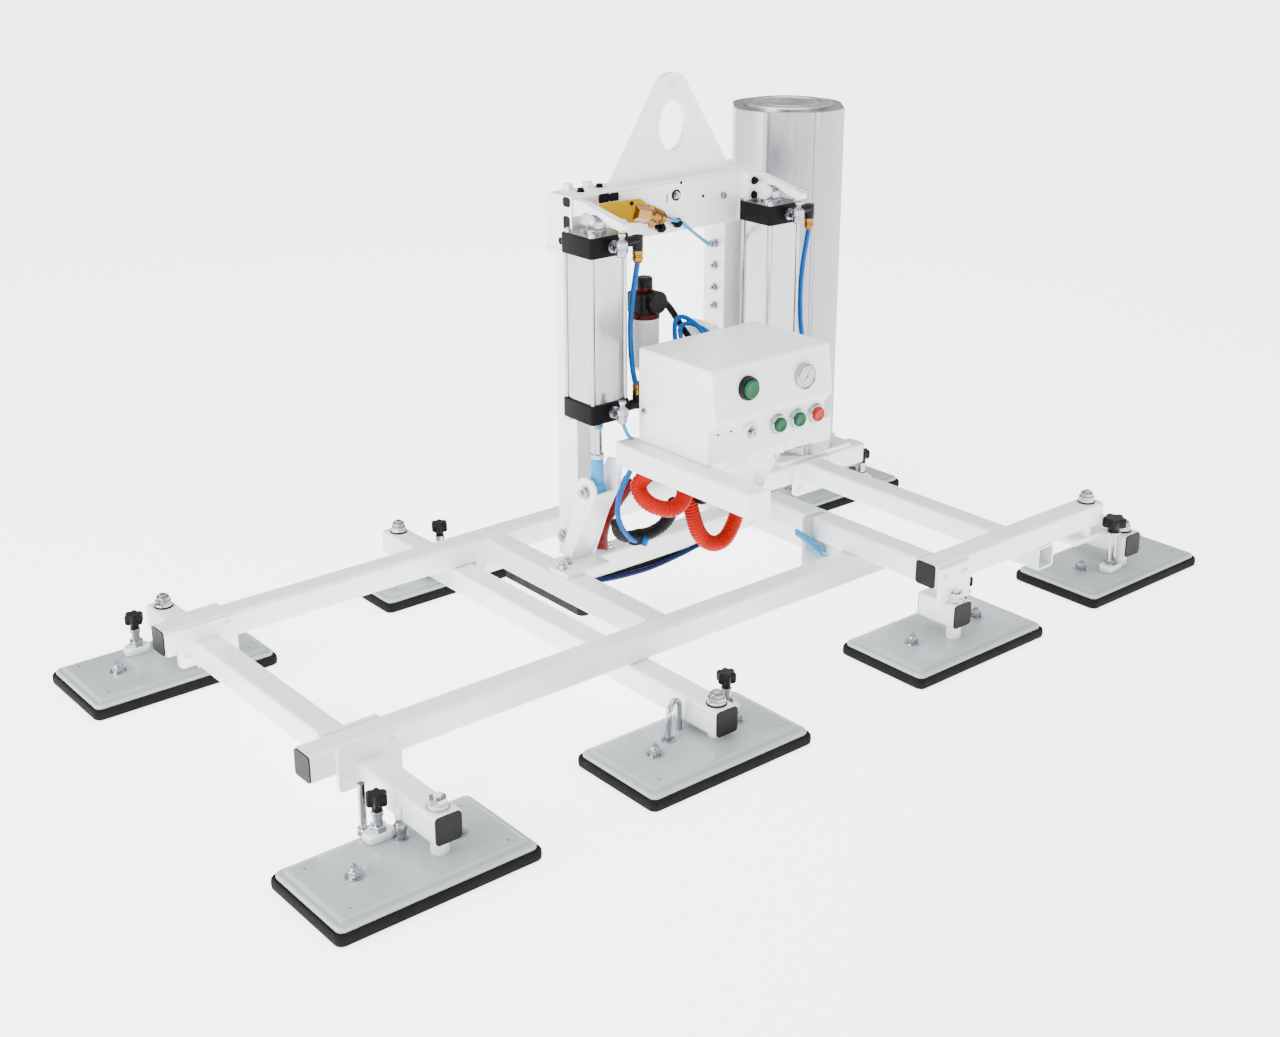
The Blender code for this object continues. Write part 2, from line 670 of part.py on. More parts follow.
def build_pad(number, x, y, port_side, stem_height=VALVE_STEM_HEIGHT, knob_radius=KNOB_RADIUS):
    """One pad: its foam ring and its pressed plate with dome nuts and port."""
    foam = prism(rounded(PAD_LENGTH, PAD_WIDTH, PAD_CORNER, 3, (x, y)), 0.0, FOAM_HEIGHT - GAP, "Z")
    finish_piece(foam, f"pad_foam_{number}", FOAM)
    length = PAD_LENGTH - 2 * PLATE_INSET
    width = PAD_WIDTH - 2 * PLATE_INSET
    rim = FOAM_HEIGHT + PLATE_HEIGHT - PLATE_BEVEL
    bm = bmesh.new()
    rings = []
    levels = ((FOAM_HEIGHT, 0.0), (rim, 0.0), (PLATE_TOP - PLATE_BEVEL / 3, PLATE_BEVEL / 3),
              (PLATE_TOP, PLATE_BEVEL))
    for level, shrink in levels:
        outline = rounded(length - 2 * shrink, width - 2 * shrink, PAD_CORNER, 3, (x, y))
        rings.append([bm.verts.new((u, v, level)) for u, v in outline])
    for low, high in zip(rings, rings[1:]):
        for k in range(len(low)):
            j = (k + 1) % len(low)
            bm.faces.new((low[k], low[j], high[j], high[k]))
    bm.faces.new(rings[0])
    bm.faces.new(rings[-1])
    plate = to_object("plate", bm)
    extras = []
    for sign in (-1, 1):
        spot = (x + sign * DOME_NUT_PITCH / 2, y, PLATE_TOP - PLATE_BEVEL / 5)
        profile = [(0, 0), (DOME_WASHER_RADIUS, 0), (DOME_WASHER_RADIUS, DOME_WASHER_HEIGHT + 0.001),
                   (DOME_NUT_RADIUS, DOME_WASHER_HEIGHT + 0.001), (DOME_NUT_RADIUS, DOME_NUT_HEIGHT * 0.6),
                   (DOME_NUT_RADIUS * 0.6, DOME_NUT_HEIGHT * 0.92), (0, DOME_NUT_HEIGHT)]
        extras.append(turned(profile, spot, "Z", 12))
    port_x, port_y = x + port_side[0], y + port_side[1]
    port = prism(rounded(PORT_LENGTH, PORT_WIDTH, PORT_WIDTH / 4, 2, (port_x, port_y)),
                 PLATE_TOP - PLATE_BEVEL / 5, PLATE_TOP + PORT_HEIGHT, "Z")
    stem = rod("Z", (port_x, port_y), PLATE_TOP + PORT_HEIGHT / 2, PLATE_TOP + stem_height,
               VALVE_STEM_RADIUS, 12)
    finish_piece(fuse(plate, port, stem, *extras), f"pad_plate_{number}", GREY)
    build_knob(number, port_x, port_y, PLATE_TOP + stem_height + GAP, knob_radius)


def build_knob(number, x, y, low, knob_radius):
    """The lobed knob on a pad's hand valve."""
    neck = rod("Z", (x, y), low, low + KNOB_NECK + KNOB_HEIGHT / 2, KNOB_NECK_RADIUS, 12)
    outline = []
    steps = KNOB_LOBES * 4
    for k in range(steps):
        angle = 2 * math.pi * k / steps
        radius = knob_radius * (0.88 + 0.12 * math.cos(KNOB_LOBES * angle))
        outline.append((x + radius * math.cos(angle), y + radius * math.sin(angle)))
    head = prism(outline, low + KNOB_NECK, low + KNOB_NECK + KNOB_HEIGHT, "Z")
    finish_piece(fuse(head, neck), f"valve_knob_{number}", BLACK, (x, y, low))


def lever_line():
    """Start, direction and normal of the lever bracket's centre line, in Y and Z."""
    foot = Vector((LEVER_FOOT_Y, LEVER_BASE))
    top = Vector((LEVER_TOP_Y, LEVER_TOP_Z))
    along = (top - foot).normalized()
    across = Vector((-along.y, along.x))
    return foot, top, along, across


def build_lever_bracket(name, x, beam_x):
    """The inclined channel from the base beam that takes a rod's push."""
    foot, top, along, across = lever_line()
    half = LEVER_DEPTH / 2
    base = UPPER_BOTTOM + LEVER_FOOT_THICKNESS / 2
    reach = (foot.y - base) / along.y
    low = foot - along * reach
    front_low = (low.x - half / along.y, base)
    back_low = (low.x + half / along.y, base)
    outline = [front_low, back_low, tuple(top - across * half), tuple(top + across * half)]
    wide = CHEEK_SPACING / 2 + CHEEK_THICKNESS
    channel = prism(outline, x - wide, x + wide, "X")
    inner_front = half - CHEEK_THICKNESS
    inner_low = low - along * half
    inner_high = top + along * half
    room = [tuple(inner_low + across * inner_front), tuple(inner_low - across * half * 2),
            tuple(inner_high - across * half * 2), tuple(inner_high + across * inner_front)]
    channel = cut(channel, prism(room, x - CHEEK_SPACING / 2, x + CHEEK_SPACING / 2, "X"))
    pieces = []
    for sign in (-1, 1):
        near = x + sign * (wide - CHEEK_THICKNESS / 2)
        bolt_end = x + sign * (wide + LEVER_BOLT_HEAD)
        pieces.append(rod("X", (CYLINDER_Y, ROD_EYE_Z), min(near, bolt_end), max(near, bolt_end),
                          LEVER_BOLT_RADIUS, 6))
    rear = back_low[0]
    outer = beam_x + math.copysign(HALF, beam_x - x)
    inner = x - math.copysign(wide, beam_x - x)
    plate = block(min(outer, inner), max(outer, inner), rear - LEVER_FOOT_LENGTH, rear,
                  UPPER_BOTTOM, LEVER_BASE)
    finish_piece(fuse(plate, channel, *pieces), name, WHITE)


def build_box_support():
    """Two beams forward from the lever brackets, with a cross bar under the control box."""
    beam_z = SUPPORT_BOTTOM + HALF
    beams = [
        square_tube("Y", front, SUPPORT_REAR_Y, (PORTAL_X + sign * SUPPORT_OFFSET, beam_z))
        for sign, front in ((-1, SUPPORT_LEFT_FRONT_Y), (1, SUPPORT_RIGHT_FRONT_Y))
    ]
    reach = SUPPORT_OFFSET - HALF + TUBE_WALL / 2
    centre = (SUPPORT_CROSS_Y, beam_z)
    bar = square_bar("X", PORTAL_X - reach, PORTAL_X + reach, centre)
    bore = square_bore("X", PORTAL_X - reach - TUBE_WALL, PORTAL_X + reach + TUBE_WALL, centre)
    finish_piece(cut(fuse(beams[0], bar, beams[1]), bore), "box_support", WHITE)


def box_outline():
    """Side profile of the control box, in Y and Z."""
    top = BOX_BOTTOM + BOX_HEIGHT
    return [
        (BOX_BACK_Y, BOX_BOTTOM), (BOX_FRONT_Y + BOX_CHIN, BOX_BOTTOM),
        (BOX_FRONT_Y + BOX_CHIN, BOX_BOTTOM + BOX_CHIN_Z),
        (BOX_FRONT_Y - BOX_NOSE + BOX_CHIN, BOX_BOTTOM + BOX_NOSE_Z),
        (BOX_FRONT_Y, top), (BOX_BACK_Y, top),
    ]


def face_depth(rise):
    """Y of the control box's front at a height above its bottom."""
    nose = (BOX_FRONT_Y - BOX_NOSE + BOX_CHIN, BOX_NOSE_Z)
    if rise > BOX_NOSE_Z:
        share = (rise - BOX_NOSE_Z) / (BOX_HEIGHT - BOX_NOSE_Z)
        return nose[0] + share * (BOX_FRONT_Y - nose[0])
    if rise > BOX_CHIN_Z:
        share = (rise - BOX_CHIN_Z) / (BOX_NOSE_Z - BOX_CHIN_Z)
        return BOX_FRONT_Y + BOX_CHIN + share * (nose[0] - BOX_FRONT_Y - BOX_CHIN)
    return BOX_FRONT_Y + BOX_CHIN


def build_control_box():
    """The sheet-metal control box with its switch bushes, and what sits in them."""
    box = prism(box_outline(), BOX_LEFT_X, BOX_RIGHT_X, "X")
    bevel = box.modifiers.new("edges", "BEVEL")
    bevel.width = BOX_CORNER
    bevel.segments = 2
    bevel.limit_method = "ANGLE"
    bevel.angle_limit = math.radians(30)
    row = face_depth(BUTTON_ROW_RISE)
    places = [(name, at, BUTTON_ROW_RISE, BUTTON_RADIUS, row)
              for name, at in zip(BUTTON_NAMES, BUTTON_AT)]
    upper = face_depth(BIG_BUTTON_RISE)
    places.append(("button_green_large", BIG_BUTTON_AT, BIG_BUTTON_RISE, BIG_BUTTON_RADIUS, upper))
    places.append(("key_switch", KEY_AT, BUTTON_ROW_RISE, KEY_RADIUS, row))
    tools = []
    bushes = []
    for name, at, rise, radius, face in places:
        centre = (BOX_LEFT_X + at, BOX_BOTTOM + rise)
        front = face - BUSH_HEIGHT
        bushes.append(rod("Y", centre, front, face + BUSH_HEIGHT, radius + BUSH_WALL, FINE_STEPS))
        depth = BUTTON_HEIGHT + BUTTON_SEAT
        tools.append(rod("Y", centre, front - BUSH_HEIGHT, front + depth, radius + FIT, FINE_STEPS))
    gauge_face = face_depth(GAUGE_RISE)
    gauge_at = (BOX_LEFT_X + GAUGE_AT, BOX_BOTTOM + GAUGE_RISE)
    tools.append(rod("Y", gauge_at, gauge_face - BUSH_HEIGHT, gauge_face + GAUGE_DEPTH,
                     GAUGE_RADIUS - BUSH_WALL + FIT, FINE_STEPS))
    box = cut(fuse(box, *bushes), *tools)
    finish_piece(box, "control_box", WHITE)
    build_gauge(gauge_at, gauge_face)
    for name, at, rise, radius, face in places:
        build_switch(name, BOX_LEFT_X + at, BOX_BOTTOM + rise, radius, face - BUSH_HEIGHT)


def build_gauge(centre, face):
    """The round vacuum gauge, its stem sunk in the box's front."""
    stem = GAUGE_DEPTH - GAP
    body = GAUGE_RADIUS - BUSH_WALL
    lift = BUSH_WALL
    profile = [(0, -stem), (body, -stem), (body, lift), (GAUGE_RADIUS, lift),
               (GAUGE_RADIUS, lift + BUSH_HEIGHT), (body, lift + BUSH_HEIGHT),
               (body, lift + BUSH_HEIGHT / 2), (0, lift + BUSH_HEIGHT / 2)]
    gauge = turned(profile, (centre[0], face, centre[1]), "-Y", FINE_STEPS)
    finish_piece(gauge, "vacuum_gauge", ZINC)


def build_switch(name, x, z, radius, front):
    """A push button or the key switch, its back in the bush and its cap proud of it."""
    if name == "key_switch":
        depth, proud, finish = BUTTON_SEAT, KEY_HEIGHT / 4, ZINC
    else:
        depth, proud, finish = BUTTON_SEAT, BUTTON_HEIGHT * 0.7, RED if "red" in name else GREEN
    edge = radius * 0.12
    profile = [(0, -depth), (radius, -depth), (radius, proud - edge), (radius - edge, proud), (0, proud)]
    cap = turned(profile, (x, front, z), "-Y", FINE_STEPS)
    if name == "key_switch":
        slot = block(x - edge, x + edge, front - proud - KEY_HEIGHT, front,
                     z - radius * 0.7, z + radius * 0.7)
        cap = fuse(cap, slot)
    finish_piece(cap, name, finish, (x, front, z))


def build_portal():
    """The welded portal: posts with hinge pins, crossbar, and the cylinders' arms."""
    start = post_centres()[0] - POST / 2 - CROSSBAR_LEFT_OVERHANG
    end = post_centres()[1] + POST / 2 + CROSSBAR_RIGHT_OVERHANG
    centre = (PORTAL_Y, CROSSBAR_BOTTOM + CROSSBAR_HEIGHT / 2)
    bar = prism(rounded(CROSSBAR_DEPTH, CROSSBAR_HEIGHT, TUBE_CORNER, 2, centre), start, end, "X")
    bore = prism(rounded(CROSSBAR_DEPTH - 2 * TUBE_WALL, CROSSBAR_HEIGHT - 2 * TUBE_WALL, TUBE_WALL / 2, 1,
                         centre), start - TUBE, end + TUBE, "X")
    frame = cut(bar, bore)
    pieces = []
    bores = []
    for x in post_centres():
        pieces.append(post_leg(x))
        bores.append(post_bore(x))
    for x, cylinder_x in zip(post_centres(), cylinder_centres()):
        pieces.extend(cylinder_arm(x, cylinder_x))
    frame = cut(fuse(frame, *pieces), *bores)
    pins = [hinge_pin(x) for x in post_centres()]
    finish_piece(fuse(frame, *pins), "portal_frame", WHITE, (PORTAL_X, PORTAL_Y, HINGE_Z))


def post_bore(x):
    """The room inside a post, open into the crossbar."""
    bore = POST / 2 - TUBE_WALL
    return block(x - bore, x + bore, PORTAL_Y - bore, PORTAL_Y + bore,
                 HINGE_Z + POST / 2, CROSSBAR_BOTTOM + 2 * TUBE_WALL)


def hinge_pin(x):
    """The pin through one post's foot."""
    reach = POST / 2 + FIT + EAR_THICKNESS + FLANGE_BOLT_HEAD
    return rod("X", (PORTAL_Y, HINGE_Z), x - reach, x + reach, HINGE_PIN_RADIUS, 16)


def post_leg(x):
    """One post, round at its foot."""
    half = POST / 2
    outline = [(PORTAL_Y + half, CROSSBAR_BOTTOM + TUBE_WALL / 2),
               (PORTAL_Y - half, CROSSBAR_BOTTOM + TUBE_WALL / 2)]
    steps = 10
    for k in range(steps + 1):
        angle = math.pi + math.pi * k / steps
        outline.append((PORTAL_Y + half * math.cos(angle), HINGE_Z + half * math.sin(angle)))
    return prism(outline, x - half, x + half, "X")


def cylinder_arm(x, cylinder_x):
    """The arm from a post's top to its cylinder's pivot, and the pivot stub."""
    side = 1 if cylinder_x > x else -1
    plate_start = cylinder_x - side * (LUG_WIDTH / 2 + GAP)
    plate_end = plate_start - side * CYLINDER_ARM_THICKNESS
    half = CYLINDER_ARM_WIDTH / 2
    root = PORTAL_Y - CROSSBAR_DEPTH / 2 + TUBE_WALL / 2
    outline = [(root, TOP_PIVOT - half), (root, TOP_PIVOT + half * 1.6)]
    for k in range(9):
        angle = math.pi / 2 + math.pi * k / 8
        outline.append((CYLINDER_Y + LUG_RADIUS * math.cos(angle),
                        TOP_PIVOT + LUG_RADIUS * math.sin(angle)))
    plate = prism(outline, min(plate_start, plate_end), max(plate_start, plate_end), "X")
    stub_end = plate_start + side * (LUG_WIDTH + GAP)
    stub = rod("X", (CYLINDER_Y, TOP_PIVOT), min(plate_end, stub_end), max(plate_end, stub_end),
               PIVOT_RADIUS, 12)
    return plate, stub


def build_lifting_eye():
    """The lifting plate on the crossbar, with its oval eye."""
    centre = PORTAL_X + EYE_CENTRE_SHIFT
    low = CROSSBAR_TOP + GAP
    tip = low + EYE_HEIGHT - EYE_TIP_RADIUS
    half = EYE_BASE / 2
    slope = math.atan2(tip - low, half)
    reach = math.hypot(half, tip - low)
    lean = slope - math.asin(EYE_TIP_RADIUS / reach)
    start = math.pi / 2 - lean
    outline = [(centre - half, low), (centre + half, low)]
    steps = 12
    for k in range(steps + 1):
        angle = start + (math.pi - 2 * start) * k / steps
        outline.append((centre + EYE_TIP_RADIUS * math.cos(angle), tip + EYE_TIP_RADIUS * math.sin(angle)))
    y0 = PORTAL_Y - EYE_THICKNESS / 2
    plate = prism(outline, y0, y0 + EYE_THICKNESS, "Y")
    hole_z = low + EYE_HEIGHT - EYE_HOLE_TOP - EYE_HOLE_HEIGHT / 2
    oval = [(centre + EYE_HOLE_WIDTH / 2 * math.cos(2 * math.pi * k / FINE_STEPS),
             hole_z + EYE_HOLE_HEIGHT / 2 * math.sin(2 * math.pi * k / FINE_STEPS))
            for k in range(FINE_STEPS)]
    hole = prism(oval, y0 - POST, y0 + POST, "Y")
    bolt = rod("Y", (centre, low + EYE_HEIGHT - EYE_HOLE_TOP / 2), y0 - FLANGE_BOLT_HEAD,
               y0 + EYE_THICKNESS / 2, FLANGE_BOLT_RADIUS, 6)
    finish_piece(fuse(cut(plate, hole), bolt), "lifting_eye", WHITE)


def build_cylinder(side_name, x):
    """A tie-rod cylinder: barrel with heads, tie rods and lug, and its piston rod."""
    low_top = CYLINDER_BOTTOM + HEAD_HEIGHT
    high_bottom = CYLINDER_TOP - HEAD_HEIGHT
    outline = rounded(HEAD, HEAD, HEAD_CHAMFER, 1, (x, CYLINDER_Y))
    bottom = prism(outline, CYLINDER_BOTTOM, low_top, "Z")
    top = prism(outline, high_bottom, CYLINDER_TOP, "Z")
    overlap = TUBE_WALL / 2
    barrel = rod("Z", (x, CYLINDER_Y), low_top - overlap, high_bottom + overlap, BARREL_RADIUS, FINE_STEPS)
    corner = HEAD / 2 - TIE_ROD_INSET
    ties = [
        rod("Z", (x + sx * corner, CYLINDER_Y + sy * corner), low_top - overlap, high_bottom + overlap,
            TIE_ROD_RADIUS, 8)
        for sx in (-1, 1) for sy in (-1, 1)
    ]
    lug_outline = [(CYLINDER_Y - LUG_RADIUS, CYLINDER_TOP - overlap),
                   (CYLINDER_Y + LUG_RADIUS, CYLINDER_TOP - overlap)]
    for k in range(9):
        angle = math.pi * k / 8
        lug_outline.append((CYLINDER_Y + LUG_RADIUS * math.cos(angle),
                            TOP_PIVOT + LUG_RADIUS * math.sin(angle)))
    lug = prism(lug_outline, x - LUG_WIDTH / 2, x + LUG_WIDTH / 2, "X")
    elbows = []
    for height, lift in ((CYLINDER_TOP - HEAD_HEIGHT / 2, 1), (CYLINDER_BOTTOM + HEAD_HEIGHT / 2, 1)):
        reach = HEAD / 2 + ELBOW_RADIUS * 3
        elbows.append(rod("X", (CYLINDER_Y, height), x + HEAD / 2 - overlap, x + reach, ELBOW_RADIUS, 10))
    body = fuse(bottom, barrel, top, lug, *ties, *elbows)
    bore = rod("Z", (x, CYLINDER_Y), low_top, high_bottom, BORE_RADIUS, FINE_STEPS)
    passage = rod("Z", (x, CYLINDER_Y), CYLINDER_BOTTOM - HEAD, low_top + overlap, ROD_RADIUS + FIT, ROUND_STEPS)
    eye = rod("X", (CYLINDER_Y, TOP_PIVOT), x - HEAD, x + HEAD, PIVOT_RADIUS + FIT, 12)
    body = cut(body, fuse(bore, passage), eye)
    finish_piece(body, f"cylinder_{side_name}", SILVER, (x, CYLINDER_Y, TOP_PIVOT))
    shaft = rod("Z", (x, CYLINDER_Y), ROD_EYE_Z, high_bottom - PISTON_HEIGHT / 2, ROD_RADIUS, ROUND_STEPS)
    piston = rod("Z", (x, CYLINDER_Y), high_bottom - PISTON_HEIGHT - GAP, high_bottom - GAP,
                 BORE_RADIUS - GAP, FINE_STEPS)
    end = rod("X", (CYLINDER_Y, ROD_EYE_Z), x - ROD_EYE_WIDTH / 2, x + ROD_EYE_WIDTH / 2, ROD_EYE_RADIUS, 16)
    hole = rod("X", (CYLINDER_Y, ROD_EYE_Z), x - HEAD, x + HEAD, PIVOT_RADIUS, 12)
    shaft = cut(fuse(shaft, piston, end), hole)
    finish_piece(shaft, f"piston_rod_{side_name}", ZINC, (x, CYLINDER_Y, ROD_EYE_Z))


def tube_curve(name, points, radius, finish, resolution):
    """A hose through hand-picked points, as a smooth tube with closed ends."""
    smooth = smooth_path([Vector(p) for p in points], 4)
    curve = bpy.data.curves.new(name, "CURVE")
    curve.dimensions = "3D"
    curve.bevel_depth = radius
    curve.bevel_resolution = resolution
    curve.use_fill_caps = True
    spline = curve.splines.new("POLY")
    spline.points.add(len(smooth) - 1)
    for point, place in zip(spline.points, smooth):
        point.co = (*place, 1.0)
    obj = bpy.data.objects.new(name, curve)
    bpy.context.scene.collection.objects.link(obj)
    curve.materials.append(material(finish))
    return obj


def smooth_path(points, steps):
    """Catmull-Rom curve through the points."""
    padded = [points[0] * 2 - points[1], *points, points[-1] * 2 - points[-2]]
    path = []
    for a, b, c, d in zip(padded, padded[1:], padded[2:], padded[3:]):
        for k in range(steps):
            t = k / steps
            path.append(0.5 * ((2 * b) + (c - a) * t + (2 * a - 5 * b + 4 * c - d) * t ** 2
                               + (3 * b - a - 3 * c + d) * t ** 3))
    path.append(points[-1])
    return path


def build_air_hose(side_name, x):
    """The blue air hose between a cylinder's two elbows."""
    start_x = x + HEAD / 2 + ELBOW_RADIUS * 3 + AIR_HOSE_RADIUS + GAP
    top = CYLINDER_TOP - HEAD_HEIGHT / 2
    low = CYLINDER_BOTTOM + HEAD_HEIGHT / 2
    height = top - low
    points = [
        (start_x, CYLINDER_Y, top),
        (start_x + 0.003, CYLINDER_Y - 0.003, top - height * 0.18),
        (start_x - 0.001, CYLINDER_Y - 0.012, top - height * 0.42),
        (start_x - 0.002, CYLINDER_Y - 0.012, top - height * 0.62),
        (start_x + 0.003, CYLINDER_Y - 0.004, top - height * 0.84),
        (start_x, CYLINDER_Y, low),
    ]
    tube_curve(f"air_hose_{side_name}", points, AIR_HOSE_RADIUS, BLUE, 2)


def build_tank():
    """The upright vacuum tank: extruded barrel with ribs, end caps and foot plate."""
    foot = UPPER_BOTTOM + TANK_FOOT_THICKNESS
    plate = block(TANK_X - TANK_FOOT_LENGTH / 2, TANK_X + TANK_FOOT_LENGTH / 2,
                  REAR_BEAM_Y - HALF, REAR_RAIL_Y + HALF + TANK_RIB, UPPER_BOTTOM, foot)
    body = rod("Z", (TANK_X, TANK_Y), foot - TANK_CAP_HEIGHT / 2, TANK_TOP, TANK_RADIUS, FINE_STEPS * 3 // 2)
    ribs = []
    for quarter in range(4):
        angle = math.pi / 4 + quarter * math.pi / 2
        reach = TANK_FLAT
        centre = (TANK_X + (reach - TANK_RIB / 2) * math.cos(angle),
                  TANK_Y + (reach - TANK_RIB / 2) * math.sin(angle))
        rib = prism(rounded(TANK_RIB, TANK_RIB, TUBE_CORNER / 2, 1), foot - TANK_CAP_HEIGHT / 3, TANK_TOP, "Z")
        rib.data.transform(Matrix.Translation((*centre, 0)) @ Matrix.Rotation(angle, 4, "Z"))
        ribs.append(rib)
    cap = rod("Z", (TANK_X, TANK_Y), TANK_TOP - TANK_CAP_HEIGHT, TANK_TOP + TANK_CAP_HEIGHT,
              TANK_CAP_RADIUS, FINE_STEPS)
    finish_piece(fuse(plate, body, cap, *ribs), "vacuum_tank", SILVER)


def build_filter():
    """The filter with regulator, its gauge and its bracket behind the control box."""
    y = BOX_BACK_Y + FILTER_REACH
    body_low = FILTER_BOTTOM + FILTER_BOWL
    body_top = body_low + FILTER_BODY
    profile = [(0, FILTER_BOTTOM), (FILTER_RADIUS * 0.5, FILTER_BOTTOM),
               (FILTER_RADIUS * 0.9, FILTER_BOTTOM + FILTER_RADIUS * 0.4),
               (FILTER_RADIUS * 0.9, body_low), (FILTER_RADIUS, body_low), (FILTER_RADIUS, body_top),
               (FILTER_KNOB_RADIUS, body_top), (FILTER_KNOB_RADIUS, body_top + FILTER_KNOB),
               (0, body_top + FILTER_KNOB)]
    unit = turned(profile, (FILTER_X, y, 0), "Z", FINE_STEPS)
    gauge_z = body_low + FILTER_BODY / 2
    gauge = rod("Y", (FILTER_X + FILTER_RADIUS, gauge_z), y - FILTER_RADIUS * 1.2, y, FILTER_GAUGE_RADIUS,
                ROUND_STEPS)
    bracket = block(FILTER_X - FILTER_RADIUS / 2, FILTER_X + FILTER_RADIUS / 2,
                    BOX_BACK_Y + GAP, y - FILTER_RADIUS / 2,
                    FILTER_BOTTOM + FILTER_RADIUS, FILTER_BOTTOM + FILTER_RADIUS * 2)
    finish_piece(fuse(unit, gauge, bracket), "filter_regulator", BLACK)


def build_silencer():
    """The exhaust silencer on the control box's back."""
    low = SILENCER_NECK
    end = low + SILENCER_LENGTH
    edge = SILENCER_RADIUS / 4
    profile = [(0, 0), (SILENCER_NECK_RADIUS, 0), (SILENCER_NECK_RADIUS, low), (SILENCER_RADIUS - edge, low),
               (SILENCER_RADIUS, low + edge), (SILENCER_RADIUS, end - edge), (SILENCER_RADIUS - edge, end),
               (0, end)]
    z = min(SILENCER_Z, BOX_BOTTOM + BOX_HEIGHT - SILENCER_NECK_RADIUS - BOX_CORNER)
    silencer = turned(profile, (SILENCER_X, BOX_BACK_Y + GAP, z), "Y", ROUND_STEPS)
    finish_piece(silencer, "silencer", WHITE)


def build_ball_valve():
    """The hand valve on the crossbar's front, and its yellow lever."""
    face = PORTAL_Y - CROSSBAR_DEPTH / 2 - GAP
    x = post_centres()[0] + BALL_VALVE_AT
    z = CROSSBAR_BOTTOM + BALL_VALVE_RISE
    y = face - BALL_VALVE_RADIUS - TUBE_WALL
    body = rod("X", (y, z), x - BALL_VALVE_LENGTH / 2, x + BALL_VALVE_LENGTH / 2, BALL_VALVE_RADIUS, ROUND_STEPS)
    collar = rod("X", (y, z), x - BALL_VALVE_RADIUS, x + BALL_VALVE_RADIUS, BALL_VALVE_RADIUS * 1.2, 8)
    foot = block(x - BALL_VALVE_RADIUS, x + BALL_VALVE_RADIUS, y, face, z - TUBE_WALL, z + TUBE_WALL)
    stem_top = y - BALL_VALVE_STEM
    stem = rod("Y", (x, z), stem_top, y, BALL_VALVE_RADIUS / 3, 12)
    finish_piece(fuse(body, collar, foot, stem), "ball_valve", BRASS)
    near = stem_top - GAP
    far = near - VALVE_LEVER_THICKNESS
    half = VALVE_LEVER_WIDTH / 2
    outline = []
    for k in range(9):
        angle = -math.pi / 2 + math.pi * k / 8
        outline.append((x + half * math.cos(angle), z + half * math.sin(angle)))
    end = x - VALVE_LEVER_LENGTH + half
    for k in range(9):
        angle = math.pi / 2 + math.pi * k / 8
        outline.append((end + half * 0.7 * math.cos(angle), z + half * 0.7 * math.sin(angle)))
    lever = prism(outline, far, near, "Y")
    hub = rod("Y", (x, z), far - TUBE_WALL, far + VALVE_LEVER_THICKNESS / 2, BALL_VALVE_RADIUS / 2, 6)
    finish_piece(fuse(lever, hub), "ball_valve_lever", YELLOW, (x, near, z))


def build_vacuum_hose():
    """The ribbed vacuum hose that loops below the control box, from port to port in its floor."""
    top = BOX_BOTTOM - GAP
    port_y = BOX_BACK_Y - VACUUM_HOSE_RADIUS - HOSE_PORT_INSET
    left = BOX_LEFT_X + HOSE_PORT_AT[0]
    right = BOX_LEFT_X + HOSE_PORT_AT[1]
    low = SUPPORT_BOTTOM
    heights = (top, top - TUBE / 4, top - TUBE / 2)
    points = [(left, port_y, height) for height in heights]
    points += [(left + u, port_y + v, low + w) for u, v, w in HOSE_ROUTE]
    points += [(right, port_y, height) for height in reversed(heights)]
    tube_curve("vacuum_hose", points, VACUUM_HOSE_RADIUS, RED_HOSE, 2)


def build_manifold():
    """The black vacuum manifold along the left base beam's underside."""
    top = RAIL_BOTTOM - GAP
    centre = (BASE_LEFT_X + (TUBE - MANIFOLD_WIDTH) / 2 - TUBE_WALL, (MANIFOLD_FRONT_Y + MANIFOLD_REAR_Y) / 2)
    bar = prism(rounded(MANIFOLD_WIDTH, MANIFOLD_REAR_Y - MANIFOLD_FRONT_Y, MANIFOLD_WIDTH / 3, 3, centre),
                top - MANIFOLD_HEIGHT, top, "Z")
    finish_piece(bar, "vacuum_manifold", BLACK)


def build_pads():
    """All seven pads, each with its place and the side of its valve."""
    places = (
        (PAD_REAR_LEFT_X, PAD_REAR_LEFT_Y, (-0.025, 0.045)),
        (PAD_REAR_MID_X, PAD_REAR_MID_Y, (0.020, 0.014)),
        (PAD_REAR_RIGHT_X, PAD_REAR_RIGHT_Y, (0.060, -0.060)),
        (PAD_FRONT_LEFT_X, PAD_FRONT_Y, (-0.008, 0.055)),
        (PAD_FRONT_MID_X, PAD_FRONT_MID_Y, (0.082, 0.028)),
        (PAD_FRONT_INNER_X, PAD_FRONT_Y, (0.070, 0.024)),
    )
    for number, (x, y, port_side) in enumerate(places, start=1):
        build_pad(number, x, y, port_side)
    build_pad(7, PAD_FRONT_RIGHT_X, PAD_FRONT_RIGHT_Y, (-0.040, -0.034), TALL_STEM_HEIGHT, STAR_KNOB_RADIUS)


